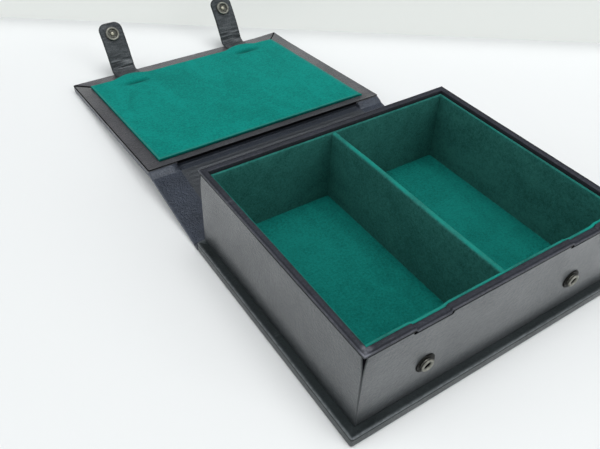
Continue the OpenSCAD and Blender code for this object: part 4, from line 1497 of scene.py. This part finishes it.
# %% Turned part in Geometry Nodes
def turned_tree():
    tree, given, result = shape_tree("turned part", {"Profile Points": 2, "Steps": 40, "Count": 1,
                                                     "Spacing": 0.0})
    place = out(add(tree, "GeometryNodeInputPosition"))
    parts = add(tree, "ShaderNodeSeparateXYZ", place)
    turn = (out(parts, "X") + 0.5) * math.tau
    number = ((out(parts, "Y") + 0.5) * (given["Profile Points"] - 1.0)).math("ROUND")
    sample = add(tree, "GeometryNodeSampleIndex", data_type="FLOAT_VECTOR")
    fill(sample, Geometry=given["Geometry"], Value=place, Index=number)
    point = add(tree, "ShaderNodeSeparateXYZ", sample)
    radius = out(point, "X")
    rolled = add(tree, "ShaderNodeCombineXYZ", radius * turn.math("COSINE"), radius * turn.math("SINE"),
                 out(point, "Z"))
    grid = add(tree, "GeometryNodeMeshGrid", 1.0, 1.0, given["Steps"] + 1.0, given["Profile Points"])
    shape = add(tree, "GeometryNodeSetPosition", Geometry=grid, Position=rolled)
    gap = add(tree, "ShaderNodeCombineXYZ", given["Spacing"])
    row = add(tree, "GeometryNodeMeshLine", Count=given["Count"], Offset=gap)
    end_tree(result, add(tree, "GeometryNodeInstanceOnPoints", Points=row, Instance=shape), given["Material"])
    return tree


turned = turned_tree()


# %% Turned parts with their wear, painted highlight and painted shade
def turned_part(name, profile, place, metal, body, replaces=(), count=1, spacing=0.0, worn_and_lit_above=99, steps=48,
                hollow=(0, 0), hollow_shade=-1.0):
    """profile is in millimetres: radius and height, from point to point; hollow: radius and top of the part
    with painted shade.
    """
    line = bpy.data.meshes.new(name + " profile")
    line.from_pydata([(r * MM, 0, z * MM) for r, z in profile], [], [])
    mesh = build_with(name, turned, line, {"Profile Points": len(profile), "Steps": steps, "Count": count,
                                           "Spacing": spacing, "Material": metal})

    def mark(p):
        radius = math.hypot(p.x - (spacing if p.x > spacing / 2 else 0.0), p.y)
        if radius < hollow[0] * MM and p.z < hollow[1] * MM:
            return hollow_shade
        return 0.9 if p.z > worn_and_lit_above * MM else 0.0

    set_wear_and_painted_light(mesh, [mark(v.co) for v in mesh.vertices])
    mesh.transform(place)
    return finish_piece(name, mesh, metal, body, replaces, 40)


# %% Studs on the front wall
on_front = Matrix.Translation((snaps[0], -tray_y, stud_z)) @ Matrix.Rotation(math.radians(90), 4, "X")
both = {"count": 2, "spacing": snaps[1] - snaps[0]}
flange = [(2.0, 0.05), (6.25, 0.05), (6.5, 0.2), (6.5, 0.45), (6.3, 0.7), (5.9, 0.8), (5.3, 0.74),
          (4.8, 0.78), (4.1, 0.9), (3.0, 0.9), (2.5, 0.5), (2.0, 0.48), (2.0, 0.05)]
head = [(2.2, 0.6), (3.95, 0.6), (3.8, 1.0), (3.75, 1.5), (4.1, 1.8), (4.36, 2.05), (4.4, 2.3), (4.25, 2.6),
        (3.95, 2.82), (3.55, 2.9), (3.1, 2.88), (2.75, 2.72), (2.5, 2.3), (2.3, 1.6), (2.2, 1.0), (2.2, 0.6)]
# The inside of each flange and stud hole is painted dark as shade; the top of each head is rubbed light and
# has a painted highlight.
turned_part("stud_flanges", flange, on_front, shaded_brass, "box", ["left_stud", "right_stud"],
            hollow=(2.6, 0.6), **both)
turned_part("stud_heads", head, on_front, snap_metal, "box", worn_and_lit_above=2.25, hollow=(2.35, 1.8), **both)

# %% Where the snaps sit on the tabs
snap_row = min(range(len(path)), key=lambda j: abs(path[j][1] - snap_at))
(point_a, place_a), (point_b, place_b) = path[snap_row - 1], path[snap_row + 1]
snap_centre = point_a.lerp(point_b, (snap_at - place_a) / (place_b - place_a))
snap_out = tab_normal(snap_row)
tilt = math.atan2(-snap_out.y, snap_out.z)
sunk = tab_t - 0.02 * MM
print("snap centre", in_mm(snap_centre), "tilt", round(math.degrees(tilt), 1))

# %% Sockets and caps on the tabs
socket_ring = [(1.0, 0.0), (6.0, 0.0), (6.25, 0.3), (6.25, 1.6), (6.1, 2.1), (5.8, 2.42), (5.3, 2.5),
               (4.8, 2.42), (4.45, 2.15), (4.3, 1.7), (4.2, 0.8), (4.0, 0.5), (3.7, 0.4), (2.9, 0.4),
               (1.0, 0.4), (1.0, 0.0)]
post = [(0, 0.3), (2.2, 0.35), (1.9, 0.7), (1.8, 1.3), (1.6, 1.75), (1.2, 2.0), (0.6, 2.12), (0, 2.14)]
cap = [(0, -1.8), (1.5, -1.72), (3.0, -1.46), (4.4, -1.02), (5.4, -0.55), (6.0, -0.2), (6.25, 0.0),
       (6.0, 0.04), (0, 0.04)]
# The socket's trough gets a little painted shade and its top a painted highlight; the post is a painted
# highlight in bright brass.
for side, x_mid in zip(("left", "right"), snaps):
    tab_face = Matrix.Translation((x_mid, snap_centre.y, snap_centre.z)) @ Matrix.Rotation(tilt, 4, "X")
    inner_side, outer_side = (tab_face @ Matrix.Translation((0, 0, z)) for z in (sunk, -sunk))
    turned_part(side + "_socket_ring", socket_ring, inner_side, snap_metal, side + "_tab", [side + "_socket"],
                worn_and_lit_above=2.1, hollow=(4.35, 1.8), hollow_shade=-0.2)
    turned_part(side + "_socket_post", post, inner_side, highlit_brass, side + "_tab", steps=32)
    turned_part(side + "_dome", cap, outer_side, snap_metal, side + "_tab", [side + "_cap"])

# %% [markdown]
# ## Hidden boards
# The boards of the measured model stay where they are, inside the leather. They get the board
# finish, and the rivets get the dark metal.

# %% Finishes of the pieces that stay
kept = {name: o for name, o in frame["nodes"].items() if not o.hide_render}
for name, o in kept.items():
    o.data.materials.clear()
    o.data.materials.append(shaded_brass if "rivet" in name else board_brown)
print("kept from the model:", sorted(kept))

# %% [markdown]
# ## Size of the dressed model
# Leather and velvet may stand only a little proud of the measured model. Here the tips of the
# two straps pass it by about 3 mm. Both boxes are printed, so that they can be compared.

# %% Sizes and the end
dressed_box = [list(corner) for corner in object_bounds()]
print("dressed model:", [in_mm(corner) for corner in dressed_box], "mm")
